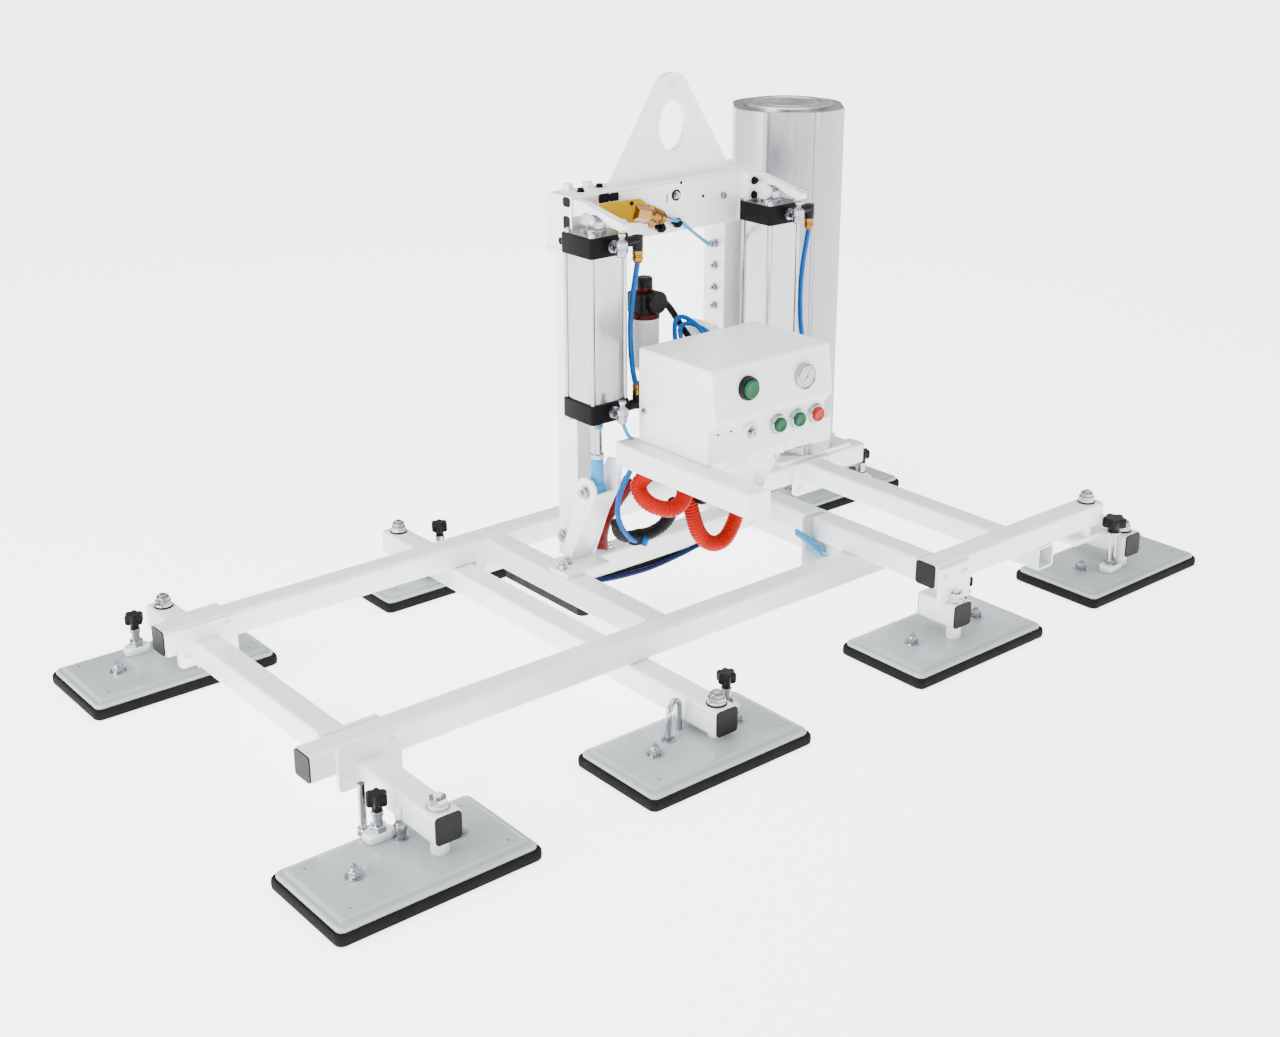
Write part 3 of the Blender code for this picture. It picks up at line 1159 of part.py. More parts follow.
def main():
    """Build the whole lifter."""
    for obj in list(bpy.data.objects):
        bpy.data.objects.remove(obj)
    build_rails()
    build_left_cross_arm()
    build_mid_cross_arm()
    build_end_arm("arm_front_left", LEFT_ARM_X, FRONT_RAIL_Y - HALF, FRONT_ARM_END_Y)
    build_end_arm("arm_rear_left", LEFT_ARM_X, REAR_RAIL_Y + HALF, REAR_LEFT_ARM_END_Y)
    build_inner_arm()
    build_outer_arm()
    build_rear_right_arm()
    build_base_frame()
    build_upper_beams()
    build_pads()
    sides = zip(("left", "right"), cylinder_centres(), (BASE_LEFT_X, BASE_RIGHT_X))
    for side_name, x, beam_x in sides:
        build_lever_bracket(f"lever_bracket_{side_name}", x, beam_x)
        build_cylinder(side_name, x)
        build_air_hose(side_name, x)
    build_box_support()
    build_control_box()
    build_portal()
    build_lifting_eye()
    build_ball_valve()
    build_tank()
    build_filter()
    build_silencer()
    build_vacuum_hose()
    build_manifold()


main()
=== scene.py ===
"""Looks of the foam-pad vacuum lifter: paint, pressed pads, fittings, hoses and studio.

Every size is in metres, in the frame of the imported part. -Y is the operator's side.
CYLINDERS gives each cylinder's side, its x and the way that points outwards.
"""
import math

import bmesh
import bpy
from mathutils import Matrix, Vector


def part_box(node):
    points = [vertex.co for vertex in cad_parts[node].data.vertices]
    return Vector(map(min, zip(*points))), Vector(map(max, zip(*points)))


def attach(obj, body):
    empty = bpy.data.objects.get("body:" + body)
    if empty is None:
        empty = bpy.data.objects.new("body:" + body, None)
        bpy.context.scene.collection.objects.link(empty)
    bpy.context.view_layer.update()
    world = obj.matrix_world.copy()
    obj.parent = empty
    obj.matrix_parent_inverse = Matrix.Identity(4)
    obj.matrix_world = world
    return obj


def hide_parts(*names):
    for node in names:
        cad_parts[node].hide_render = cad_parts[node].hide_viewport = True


bl_info = {
    "name": "Foam-Pad Vacuum Lifter",
    "version": (1, 0, 0),
    "blender": (4, 5, 0),
    "location": "3D View > Sidebar > Lifter",
    "description": "Dresses the packed lifter with paint, pads, fittings, hoses and a studio",
    "category": "Object",
}

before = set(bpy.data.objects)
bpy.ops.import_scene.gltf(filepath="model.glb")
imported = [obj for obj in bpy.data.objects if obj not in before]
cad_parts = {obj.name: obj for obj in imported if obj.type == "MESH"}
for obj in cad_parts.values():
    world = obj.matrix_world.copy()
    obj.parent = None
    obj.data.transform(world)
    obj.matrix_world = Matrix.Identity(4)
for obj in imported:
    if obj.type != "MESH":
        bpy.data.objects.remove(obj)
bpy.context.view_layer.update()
PAD_NUMBERS = range(1, 8)
UP = Vector((0, 0, 1))
FRONT = Vector((0, -1, 0))
TUBE_HALF = 0.020
PLATE_RISE = 0.0113
PORTAL_Y = 0.085
PORTAL_FRONT = 0.0538
BRACKET_FOOT = 0.1163
CYLINDERS = (("left", -0.1225, -1), ("right", 0.2425, 1))
CYLINDER_Y = 0.0075
ROD_EYE_Z = 0.253
UNION_TILT = (0.957, 0, -0.29)
BUTTONS = ("button_green_left", "button_green_right", "button_red", "button_green_large")


# Materials


def node(tree, kind, **inputs):
    """Add a shader node and set its inputs by name."""
    made = tree.nodes.new(kind)
    for name, value in inputs.items():
        made.inputs[name.replace("_", " ")].default_value = value
    return made


def surface_material(name, colour, roughness, metallic=0.0, tint=0.06, tint_scale=9.0, grain=900.0,
                     bump=0.08, rough_spread=0.08, stretch=(1.0, 1.0, 1.0), coat=0.0, edge_wear_and_highlight=0.0,
                     specular=0.3):
    """A finish with slow colour drift, uneven gloss and a fine surface grain."""
    found = bpy.data.materials.get(name)
    if found:
        return found
    material = bpy.data.materials.new(name)
    material.use_nodes = True
    material.diffuse_color = (*colour, 1.0)
    tree = material.node_tree
    shader = tree.nodes["Principled BSDF"]
    shader.inputs["Metallic"].default_value = metallic
    shader.inputs["Coat Weight"].default_value = coat
    shader.inputs["Coat Roughness"].default_value = 0.12
    shader.inputs["Specular IOR Level"].default_value = specular
    place = tree.nodes.new("ShaderNodeTexCoord")
    mapping = node(tree, "ShaderNodeMapping", Scale=stretch)
    tree.links.new(place.outputs["Object"], mapping.inputs["Vector"])

    drift = node(tree, "ShaderNodeTexNoise", Scale=tint_scale, Detail=5.0, Roughness=0.6)
    tree.links.new(mapping.outputs["Vector"], drift.inputs["Vector"])
    ramp = tree.nodes.new("ShaderNodeValToRGB")
    ramp.color_ramp.elements[0].position = 0.3
    ramp.color_ramp.elements[1].position = 0.72
    dark = [max(0.0, channel * (1 - tint)) for channel in colour]
    light = [min(1.0, channel * (1 + tint * 0.5)) for channel in colour]
    ramp.color_ramp.elements[0].color = (*dark, 1.0)
    ramp.color_ramp.elements[1].color = (*light, 1.0)
    tree.links.new(drift.outputs["Fac"], ramp.inputs["Fac"])
    colour_out = ramp.outputs["Color"]
    # Pointiness lightens the colour on sharp convex edges: a painted edge highlight, partly also wear on the metal
    # parts.
    if edge_wear_and_highlight > 0:
        geometry = tree.nodes.new("ShaderNodeNewGeometry")
        edge_highlight_mask = node(tree, "ShaderNodeMapRange", **{"From_Min": 0.52, "From_Max": 0.62, "To_Max": edge_wear_and_highlight})
        tree.links.new(geometry.outputs["Pointiness"], edge_highlight_mask.inputs["Value"])
        mix = tree.nodes.new("ShaderNodeMix")
        mix.data_type = "RGBA"
        tree.links.new(edge_highlight_mask.outputs["Result"], mix.inputs["Factor"])
        tree.links.new(colour_out, mix.inputs["A"])
        mix.inputs["B"].default_value = (*[min(1.0, channel * 1.4 + 0.05) for channel in colour], 1.0)
        colour_out = mix.outputs["Result"]
    tree.links.new(colour_out, shader.inputs["Base Color"])

    smear = node(tree, "ShaderNodeTexNoise", Scale=tint_scale * 4, Detail=6.0, Roughness=0.65)
    tree.links.new(mapping.outputs["Vector"], smear.inputs["Vector"])
    gloss = node(tree, "ShaderNodeMapRange", **{
        "From_Min": 0.3, "From_Max": 0.7,
        "To_Min": max(0.02, roughness - rough_spread), "To_Max": min(1.0, roughness + rough_spread),
    })
    tree.links.new(smear.outputs["Fac"], gloss.inputs["Value"])
    tree.links.new(gloss.outputs["Result"], shader.inputs["Roughness"])

    fine = node(tree, "ShaderNodeTexNoise", Scale=grain, Detail=3.0)
    tree.links.new(mapping.outputs["Vector"], fine.inputs["Vector"])
    relief = node(tree, "ShaderNodeBump", Strength=bump, Distance=0.0006)
    tree.links.new(fine.outputs["Fac"], relief.inputs["Height"])
    tree.links.new(relief.outputs["Normal"], shader.inputs["Normal"])
    return material


def foam_material(name, colour, cell_scale):
    """Closed-cell foam: matte, with small cells across its skin."""
    material = surface_material(name, colour, 0.86, tint=0.3, tint_scale=30, grain=600, bump=0.2, specular=0.12)
    tree = material.node_tree
    place = next(n for n in tree.nodes if n.type == "TEX_COORD")
    relief = next(n for n in tree.nodes if n.type == "BUMP")
    cells = node(tree, "ShaderNodeTexVoronoi", Scale=cell_scale)
    tree.links.new(place.outputs["Object"], cells.inputs["Vector"])
    fine = relief.inputs["Height"].links[0].from_socket
    tree.links.new(math_node(tree, "ADD", fine, cells.outputs["Distance"]), relief.inputs["Height"])
    return material


def clear_material(name, colour, roughness, transmission):
    """A see-through plastic or glass with faint haze."""
    material = surface_material(name, colour, roughness, tint=0.04, bump=0.03, rough_spread=0.03)
    shader = material.node_tree.nodes["Principled BSDF"]
    shader.inputs["Transmission Weight"].default_value = transmission
    shader.inputs["IOR"].default_value = 1.45
    return material


def palette():
    """All finishes of the lifter, by a maker's name for each."""
    colours = bpy.context.scene.lifter_colours
    return {
        "paint": surface_material("white_powder_coat", tuple(colours.paint), 0.38, tint=0.04, tint_scale=5,
                                  grain=1300, bump=0.10, coat=0.08, edge_wear_and_highlight=0.35),
        "box": surface_material("white_enamel", tuple(colours.box), 0.24, tint=0.03, tint_scale=4,
                                grain=1500, bump=0.05, coat=0.2, edge_wear_and_highlight=0.2),
        "plate": surface_material("grey_gloss_plate", tuple(colours.plate), 0.22, tint=0.09, tint_scale=7,
                                  grain=700, bump=0.04, coat=0.25, edge_wear_and_highlight=0.9),
        "foam": foam_material("black_sealing_foam", tuple(colours.foam), 700),
        "zinc": surface_material("bright_zinc", (0.30, 0.31, 0.33), 0.24, 1.0, tint=0.45, tint_scale=60,
                                 grain=1600, bump=0.05, edge_wear_and_highlight=0.8),
        "chrome": surface_material("polished_chrome", (0.40, 0.41, 0.43), 0.10, 1.0, tint=0.10,
                                   tint_scale=30, grain=2200, bump=0.02, rough_spread=0.04),
        "barrel": surface_material("anodised_barrel", (0.46, 0.46, 0.47), 0.22, 1.0, tint=0.10,
                                   tint_scale=25, grain=900, bump=0.05, stretch=(1.0, 1.0, 0.02)),
        "tank": surface_material("extruded_aluminium", (0.31, 0.32, 0.34), 0.26, 1.0, tint=0.12,
                                 tint_scale=22, grain=800, bump=0.06, stretch=(1.0, 1.0, 0.015)),
        "lid": surface_material("turned_aluminium", (0.46, 0.47, 0.48), 0.28, 1.0, tint=0.12,
                                tint_scale=40, grain=1200, bump=0.06),
        "black": surface_material("black_moulding", (0.007, 0.007, 0.008), 0.42, tint=0.25, tint_scale=40,
                                  grain=1800, bump=0.12, specular=0.12),
        "head": surface_material("black_anodised_head", (0.004, 0.004, 0.005), 0.35, tint=0.3, tint_scale=30,
                                 grain=1500, bump=0.08, specular=0.05),
        "blue": surface_material("blue_air_hose", tuple(colours.air_hose), 0.30, tint=0.14, tint_scale=30,
                                 grain=1500, bump=0.03, specular=0.08),
        "pale_blue": surface_material("pale_blue_hose", (0.03, 0.26, 0.50), 0.22, tint=0.14, tint_scale=30,
                                      grain=1500, bump=0.03, specular=0.2),
        "navy": surface_material("dark_blue_hose", (0.002, 0.010, 0.060), 0.35, tint=0.2, tint_scale=30,
                                 grain=1400, bump=0.05, specular=0.12),
        "red_hose": surface_material("orange_red_hose", tuple(colours.vacuum_hose), 0.34, tint=0.22,
                                     tint_scale=26, grain=1100, bump=0.05, specular=0.08),
        "maroon": surface_material("dark_red_hose", (0.16, 0.006, 0.008), 0.3, tint=0.3, tint_scale=26,
                                   grain=1100, bump=0.05, specular=0.15),
        "green": surface_material("green_lens", (0.0, 0.085, 0.032), 0.28, tint=0.2, tint_scale=60,
                                  grain=1500, bump=0.03, specular=0.2),
        "red": surface_material("red_lens", (0.42, 0.010, 0.006), 0.28, tint=0.15, tint_scale=60,
                                grain=1500, bump=0.03, specular=0.2),
        "yellow": surface_material("yellow_dip_coat", (0.40, 0.22, 0.0), 0.38, tint=0.22, tint_scale=35,
                                   grain=1200, bump=0.12, edge_wear_and_highlight=0.1, specular=0.05),
        "brass": surface_material("turned_brass", (0.22, 0.105, 0.016), 0.24, 1.0, tint=0.35, tint_scale=70,
                                  grain=1600, bump=0.05, edge_wear_and_highlight=0.6),
        "filter_red": surface_material("dark_red_knob", (0.07, 0.002, 0.004), 0.32, tint=0.3, tint_scale=50,
                                       grain=1400, bump=0.06, specular=0.15),
        "plastic": surface_material("white_moulding", (0.80, 0.81, 0.80), 0.38, tint=0.05, tint_scale=20,
                                    grain=1500, bump=0.06),
        "dial": surface_material("dial_white", (0.82, 0.83, 0.82), 0.4, tint=0.02, grain=2000, bump=0.02),
        # Dial print, and near-black painted shade for the key switch's slot.
        "ink_and_shade": surface_material("dial_ink", (0.008, 0.008, 0.009), 0.5, tint=0.1, grain=2000, bump=0.02,
                                specular=0.1),
        "bowl": clear_material("clear_bowl", (0.84, 0.85, 0.82), 0.14, 0.15),
        "glass": clear_material("gauge_glass", (0.95, 0.97, 0.97), 0.03, 0.95),
        # Near-black sheets for holes and notches: painted shade inside them.
        "dark": surface_material("dark_recess", (0.003, 0.004, 0.008), 0.6, tint=0.5, tint_scale=60,
                                 grain=1200, bump=0.1, specular=0.12),
    }


# Shapes


def to_object(name, bm):
    """Turn a bmesh into an object with welded, outward faces."""
    bmesh.ops.remove_doubles(bm, verts=bm.verts, dist=1e-6)
    bmesh.ops.recalc_face_normals(bm, faces=bm.faces)
    mesh = bpy.data.meshes.new(name)
    bm.to_mesh(mesh)
    bm.free()
    obj = bpy.data.objects.new(name, mesh)
    bpy.context.scene.collection.objects.link(obj)
    return obj


def turn_to(direction):
    """Rotation that carries +Z onto a direction."""
    return UP.rotation_difference(Vector(direction).normalized()).to_matrix().to_4x4()


def close_rings(bm, rings):
    """Join rings of vertices by side faces and close both ends."""
    count = len(rings[0])
    for low, high in zip(rings, rings[1:]):
        for k in range(count):
            j = (k + 1) % count
            bm.faces.new((low[k], low[j], high[j], high[k]))
    bm.faces.new(rings[0])
    bm.faces.new(rings[-1])


def add_lathe(bm, profile, place=(0, 0, 0), direction=UP, steps=32):
    """Add a turned solid from (radius, height) points, closed on its axis."""
    move = Matrix.Translation(Vector(place)) @ turn_to(direction)
    rings = []
    for radius, height in profile:
        if radius < 1e-7:
            rings.append([bm.verts.new(move @ Vector((0, 0, height)))])
            continue
        rings.append([
            bm.verts.new(move @ Vector((radius * math.cos(math.tau * k / steps),
                                        radius * math.sin(math.tau * k / steps), height)))
            for k in range(steps)
        ])
    for low, high in zip(rings, rings[1:]):
        for k in range(steps):
            j = (k + 1) % steps
            corners = [low[k % len(low)], low[j % len(low)], high[j % len(high)], high[k % len(high)]]
            unique = list(dict.fromkeys(corners))
            if len(unique) > 2:
                bm.faces.new(unique)


def add_prism(bm, outline, height, place=(0, 0, 0), direction=UP, bevel=0.0):
    """Add an extruded outline along a direction, its upper edge bevelled."""
    move = Matrix.Translation(Vector(place)) @ turn_to(direction)
    centre = Vector((sum(u for u, v in outline), sum(v for u, v in outline))) / len(outline)
    levels = [(0.0, 1.0), (height, 1.0)]
    if bevel > 0:
        size = max((Vector(p) - centre).length for p in outline)
        share = 1 - bevel / size
        levels = [(0.0, share), (bevel, 1.0), (height - bevel, 1.0), (height, share)]
    rings = []
    for level, share in levels:
        rings.append([
            bm.verts.new(move @ Vector((centre.x + (u - centre.x) * share,
                                        centre.y + (v - centre.y) * share, level)))
            for u, v in outline
        ])
    close_rings(bm, rings)


def rounded(width, height, radius, steps=4):
    """Outline of a rectangle with round corners, about the origin."""
    points = []
    for sx, sy, quarter in ((1, 1, 0), (-1, 1, 1), (-1, -1, 2), (1, -1, 3)):
        for k in range(steps + 1):
            angle = math.pi / 2 * (quarter + k / steps)
            points.append((sx * (width / 2 - radius) + radius * math.cos(angle),
                           sy * (height / 2 - radius) + radius * math.sin(angle)))
    return points


def add_side_prism(bm, outline, middle, width, bevel=0.0):
    """Add a plate whose (y, z) outline is seen from the side, centred on an x."""
    add_prism(bm, [(-z, y) for y, z in outline], width, (middle - width / 2, 0, 0), (1, 0, 0), bevel)


def hexagon(radius):
    """Outline of a hexagon by its corner radius."""
    return [(radius * math.cos(math.tau * k / 6), radius * math.sin(math.tau * k / 6)) for k in range(6)]


def smooth_path(points, steps=8):
    """Catmull-Rom curve through the points."""
    points = [Vector(p) for p in points]
    padded = [points[0] * 2 - points[1], *points, points[-1] * 2 - points[-2]]
    path = []
    for a, b, c, d in zip(padded, padded[1:], padded[2:], padded[3:]):
        for k in range(steps):
            t = k / steps
            path.append(0.5 * ((2 * b) + (c - a) * t + (2 * a - 5 * b + 4 * c - d) * t ** 2
                               + (3 * b - a - 3 * c + d) * t ** 3))
    path.append(points[-1])
    return path


def dress(obj, name, body, finish, smooth=35.0):
    """Name a finished piece, give it its finish and let it ride on its body."""
    obj.name = name
    obj.data.name = name
    obj.data.materials.clear()
    obj.data.materials.append(palette()[finish])
    obj.data.shade_smooth()
    obj.data.set_sharp_from_angle(angle=math.radians(smooth))
    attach(obj, body)
    return obj


# Geometry Nodes


def new_tree(name, sizes):
    """A node group with a Geometry input, named size inputs and a Material input."""
    tree = bpy.data.node_groups.new(name, "GeometryNodeTree")
    tree.interface.new_socket("Geometry", in_out="INPUT", socket_type="NodeSocketGeometry")
    for label, default in sizes.items():
        socket = tree.interface.new_socket(label, in_out="INPUT", socket_type="NodeSocketFloat")
        socket.default_value = default
    tree.interface.new_socket("Material", in_out="INPUT", socket_type="NodeSocketMaterial")
    tree.interface.new_socket("Geometry", in_out="OUTPUT", socket_type="NodeSocketGeometry")
    entry = tree.nodes.new("NodeGroupInput")
    leave = tree.nodes.new("NodeGroupOutput")
    return tree, entry, leave


def close_tree(tree, entry, leave, result):
    """End a tree with Realize Instances and Set Material."""
    realise = tree.nodes.new("GeometryNodeRealizeInstances")
    paint = tree.nodes.new("GeometryNodeSetMaterial")
    tree.links.new(result, realise.inputs["Geometry"])
    tree.links.new(realise.outputs["Geometry"], paint.inputs["Geometry"])
    tree.links.new(entry.outputs["Material"], paint.inputs["Material"])
    tree.links.new(paint.outputs["Geometry"], leave.inputs["Geometry"])
    return tree


def math_node(tree, operation, first, second=None):
    """A Math node on sockets or numbers."""
    made = tree.nodes.new("ShaderNodeMath")
    made.operation = operation
    for slot_index, value in enumerate((first, second)):
        if value is None:
            continue
        if isinstance(value, (int, float)):
            made.inputs[slot_index].default_value = value
        else:
            tree.links.new(value, made.inputs[slot_index])
    return made.outputs[0]


def ribbed_hose_tree():
    """Sweeps a round hose along a path, its radius swelling at each rib."""
    found = bpy.data.node_groups.get("ribbed_hose")
    if found:
        return found
    tree, entry, leave = new_tree("ribbed_hose", {"Radius": 0.015, "Rib Pitch": 0.007, "Rib Depth": 0.001})
    to_curve = tree.nodes.new("GeometryNodeMeshToCurve")
    tree.links.new(entry.outputs["Geometry"], to_curve.inputs["Mesh"])
    resample = tree.nodes.new("GeometryNodeResampleCurve")
    resample.mode = "LENGTH"
    tree.links.new(to_curve.outputs["Curve"], resample.inputs["Curve"])
    step = math_node(tree, "DIVIDE", entry.outputs["Rib Pitch"], 6.0)
    tree.links.new(step, resample.inputs["Length"])
    along = tree.nodes.new("GeometryNodeSplineParameter")
    turns = math_node(tree, "DIVIDE", along.outputs["Length"], entry.outputs["Rib Pitch"])
    wave = math_node(tree, "SINE", math_node(tree, "MULTIPLY", turns, math.tau))
    swell = math_node(tree, "MULTIPLY", wave, entry.outputs["Rib Depth"])
    radius = math_node(tree, "ADD", entry.outputs["Radius"], swell)
    profile = tree.nodes.new("GeometryNodeCurvePrimitiveCircle")
    profile.inputs["Resolution"].default_value = 24
    profile.inputs["Radius"].default_value = 1.0
    sweep = tree.nodes.new("GeometryNodeCurveToMesh")
    tree.links.new(resample.outputs["Curve"], sweep.inputs["Curve"])
    tree.links.new(profile.outputs["Curve"], sweep.inputs["Profile Curve"])
    if "Scale" in sweep.inputs:
        tree.links.new(radius, sweep.inputs["Scale"])
    else:
        swelling = tree.nodes.new("GeometryNodeSetCurveRadius")
        tree.links.new(resample.outputs["Curve"], swelling.inputs["Curve"])
        tree.links.new(radius, swelling.inputs["Radius"])
        tree.links.new(swelling.outputs["Curve"], sweep.inputs["Curve"])
    sweep.inputs["Fill Caps"].default_value = True
    return close_tree(tree, entry, leave, sweep.outputs["Mesh"])


def place_copies(tree, entry, solids):
    """Instance joined solids on the points, each turned to its point's axis."""
    join = tree.nodes.new("GeometryNodeJoinGeometry")
    for solid in solids:
        tree.links.new(solid, join.inputs["Geometry"])
    axis = tree.nodes.new("GeometryNodeInputNamedAttribute")
    axis.data_type = "FLOAT_VECTOR"
    axis.inputs["Name"].default_value = "axis"
    turn = tree.nodes.new("FunctionNodeAlignRotationToVector")
    turn.axis = "Z"
    tree.links.new(axis.outputs["Attribute"], turn.inputs["Vector"])
    instances = tree.nodes.new("GeometryNodeInstanceOnPoints")
    tree.links.new(entry.outputs["Geometry"], instances.inputs["Points"])
    tree.links.new(join.outputs["Geometry"], instances.inputs["Instance"])
    tree.links.new(turn.outputs["Rotation"], instances.inputs["Rotation"])
    return instances.outputs["Instances"]


def solid_cylinder(tree, radius, height, sides, base=0.0):
    """A cylinder whose foot stands at the base height."""
    solid = tree.nodes.new("GeometryNodeMeshCylinder")
    solid.inputs["Vertices"].default_value = sides
    tree.links.new(radius, solid.inputs["Radius"])
    tree.links.new(height, solid.inputs["Depth"])
    lift = tree.nodes.new("GeometryNodeTransform")
    offset = tree.nodes.new("ShaderNodeCombineXYZ")
    half = math_node(tree, "MULTIPLY", height, 0.5)
    tree.links.new(math_node(tree, "ADD", half, base), offset.inputs["Z"])
    tree.links.new(solid.outputs["Mesh"], lift.inputs["Geometry"])
    tree.links.new(offset.outputs["Vector"], lift.inputs["Translation"])
    return lift.outputs["Geometry"]


def hex_bolt_tree():
    """A washer, a hexagon head and a domed tip on each point."""
    found = bpy.data.node_groups.get("hex_bolts")
    if found:
        return found
    sizes = {"Washer Radius": 0.008, "Washer Height": 0.0015, "Head Radius": 0.0065, "Head Height": 0.006,
             "Tip Radius": 0.003, "Tip Height": 0.003}
    tree, entry, leave = new_tree("hex_bolts", sizes)
    out = entry.outputs
    washer = solid_cylinder(tree, out["Washer Radius"], out["Washer Height"], 24)
    head = solid_cylinder(tree, out["Head Radius"], out["Head Height"], 6, out["Washer Height"])
    crown_foot = math_node(tree, "ADD", out["Washer Height"], out["Head Height"])
    tip = solid_cylinder(tree, out["Tip Radius"], out["Tip Height"], 16, crown_foot)
    return close_tree(tree, entry, leave, place_copies(tree, entry, (washer, head, tip)))


def tube_plug_tree():
    """A round-cornered plug with a raised face on each tube end."""
    found = bpy.data.node_groups.get("tube_plugs")
    if found:
        return found
    tree, entry, leave = new_tree("tube_plugs", {"Width": 0.0385, "Corner": 0.005, "Thickness": 0.0025})
    out = entry.outputs
    square = tree.nodes.new("GeometryNodeCurvePrimitiveQuadrilateral")
    tree.links.new(out["Width"], square.inputs["Width"])
    tree.links.new(out["Width"], square.inputs["Height"])
    fillet = tree.nodes.new("GeometryNodeFilletCurve")
    fillet.mode = "POLY"
    fillet.inputs["Count"].default_value = 4
    tree.links.new(square.outputs["Curve"], fillet.inputs["Curve"])
    tree.links.new(out["Corner"], fillet.inputs["Radius"])
    rail = tree.nodes.new("GeometryNodeCurvePrimitiveLine")
    depth = tree.nodes.new("ShaderNodeCombineXYZ")
    tree.links.new(out["Thickness"], depth.inputs["Z"])
    tree.links.new(depth.outputs["Vector"], rail.inputs["End"])
    sweep = tree.nodes.new("GeometryNodeCurveToMesh")
    tree.links.new(rail.outputs["Curve"], sweep.inputs["Curve"])
    tree.links.new(fillet.outputs["Curve"], sweep.inputs["Profile Curve"])
    sweep.inputs["Fill Caps"].default_value = True
    return close_tree(tree, entry, leave, place_copies(tree, entry, (sweep.outputs["Mesh"],)))


def grow(name, source, tree, finish, **sizes):
    """Run a tree on a source mesh and return the plain mesh it makes."""
    modifier = source.modifiers.new(tree.name, "NODES")
    modifier.node_group = tree
    for item in tree.interface.items_tree:
        if item.item_type != "SOCKET" or item.in_out != "INPUT":
            continue
        key = item.name.lower().replace(" ", "_")
        if key in sizes:
            modifier[item.identifier] = sizes[key]
        if item.name == "Material":
            modifier[item.identifier] = palette()[finish]
    bpy.context.view_layer.update()
    graph = bpy.context.evaluated_depsgraph_get()
    mesh = bpy.data.meshes.new_from_object(source.evaluated_get(graph))
    bpy.data.objects.remove(source)
    made = bpy.data.objects.new(name, mesh)
    bpy.context.scene.collection.objects.link(made)
    for attribute in [a.name for a in mesh.attributes if a.name == "axis"]:
        mesh.attributes.remove(mesh.attributes[attribute])
    return made


def path_mesh(points):
    """A string of edges for a tree to sweep along."""
    mesh = bpy.data.meshes.new("path")
    mesh.from_pydata([tuple(p) for p in points], [(k, k + 1) for k in range(len(points) - 1)], [])
    obj = bpy.data.objects.new("path", mesh)
    bpy.context.scene.collection.objects.link(obj)
    return obj


def point_mesh(places):
    """Loose points, each with its own axis, for a tree to put copies on."""
    mesh = bpy.data.meshes.new("points")
    mesh.from_pydata([tuple(place) for place, direction in places], [], [])
    axis = mesh.attributes.new("axis", "FLOAT_VECTOR", "POINT")
    for k, (place, direction) in enumerate(places):
        axis.data[k].vector = Vector(direction).normalized()
    obj = bpy.data.objects.new("points", mesh)
    bpy.context.scene.collection.objects.link(obj)
    return obj


def hose(name, points, radius, finish, body, rib_pitch=0.004, rib_depth=0.0):
    """A hose swept through its points, ribbed where it has ribs."""
    tree = ribbed_hose_tree()
    made = grow(name, path_mesh(smooth_path(points)), tree, finish,
                radius=radius, rib_pitch=rib_pitch, rib_depth=rib_depth)
    return dress(made, name, body, finish, 60.0)


def bolts(name, places, finish, body, **sizes):
    """Hex bolts or nuts at places with an axis each."""
    made = grow(name, point_mesh(places), hex_bolt_tree(), finish, **sizes)
    return dress(made, name, body, finish, 30.0)


def box_of(name):
    """Lowest and highest corners of a CAD node."""
    low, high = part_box(name)
    return low, high


# Settings


class LifterColours(bpy.types.PropertyGroup):
    """Colours that a user may change."""

    paint: bpy.props.FloatVectorProperty(
        name="Frame Paint", description="Powder coat of the frame and portal",
        subtype="COLOR", default=(0.86, 0.88, 0.90), min=0, max=1)
    box: bpy.props.FloatVectorProperty(
        name="Box Enamel", description="Enamel of the control box",
        subtype="COLOR", default=(0.86, 0.88, 0.88), min=0, max=1)
    plate: bpy.props.FloatVectorProperty(
        name="Pad Plate", description="Gloss paint of the pads' plates",
        subtype="COLOR", default=(0.33, 0.37, 0.37), min=0, max=1)
    foam: bpy.props.FloatVectorProperty(
        name="Foam", description="Sealing foam under the plates",
        subtype="COLOR", default=(0.006, 0.006, 0.007), min=0, max=1)
    air_hose: bpy.props.FloatVectorProperty(
        name="Air Hose", description="Polyurethane air hose",
        subtype="COLOR", default=(0.0, 0.085, 0.34), min=0, max=1)
    vacuum_hose: bpy.props.FloatVectorProperty(
        name="Vacuum Hose", description="Ribbed vacuum hose",
        subtype="COLOR", default=(0.38, 0.004, 0.0), min=0, max=1)


class LifterSizes(bpy.types.PropertyGroup):
    """Sizes that a user may change."""

    plate_step: bpy.props.FloatProperty(
        name="Plate Step", description="Height of the pressed step round a pad's plate",
        subtype="DISTANCE", default=0.0035, min=0.001, max=0.006)
    plug_thickness: bpy.props.FloatProperty(
        name="Plug Thickness", description="How far a tube's end plug stands out",
        subtype="DISTANCE", default=0.0022, min=0.0005, max=0.004)
    rib_pitch: bpy.props.FloatProperty(
        name="Hose Rib Pitch", description="Distance between two ribs of the vacuum hose",
        subtype="DISTANCE", default=0.0052, min=0.003, max=0.02)
    rib_depth: bpy.props.FloatProperty(
        name="Hose Rib Depth", description="Height of a rib of the vacuum hose",
        subtype="DISTANCE", default=0.0007, min=0.0, max=0.002)
    bead_radius: bpy.props.FloatProperty(
        name="Weld Bead", description="Radius of the weld beads on the frame",
        subtype="DISTANCE", default=0.0022, min=0.0005, max=0.005)


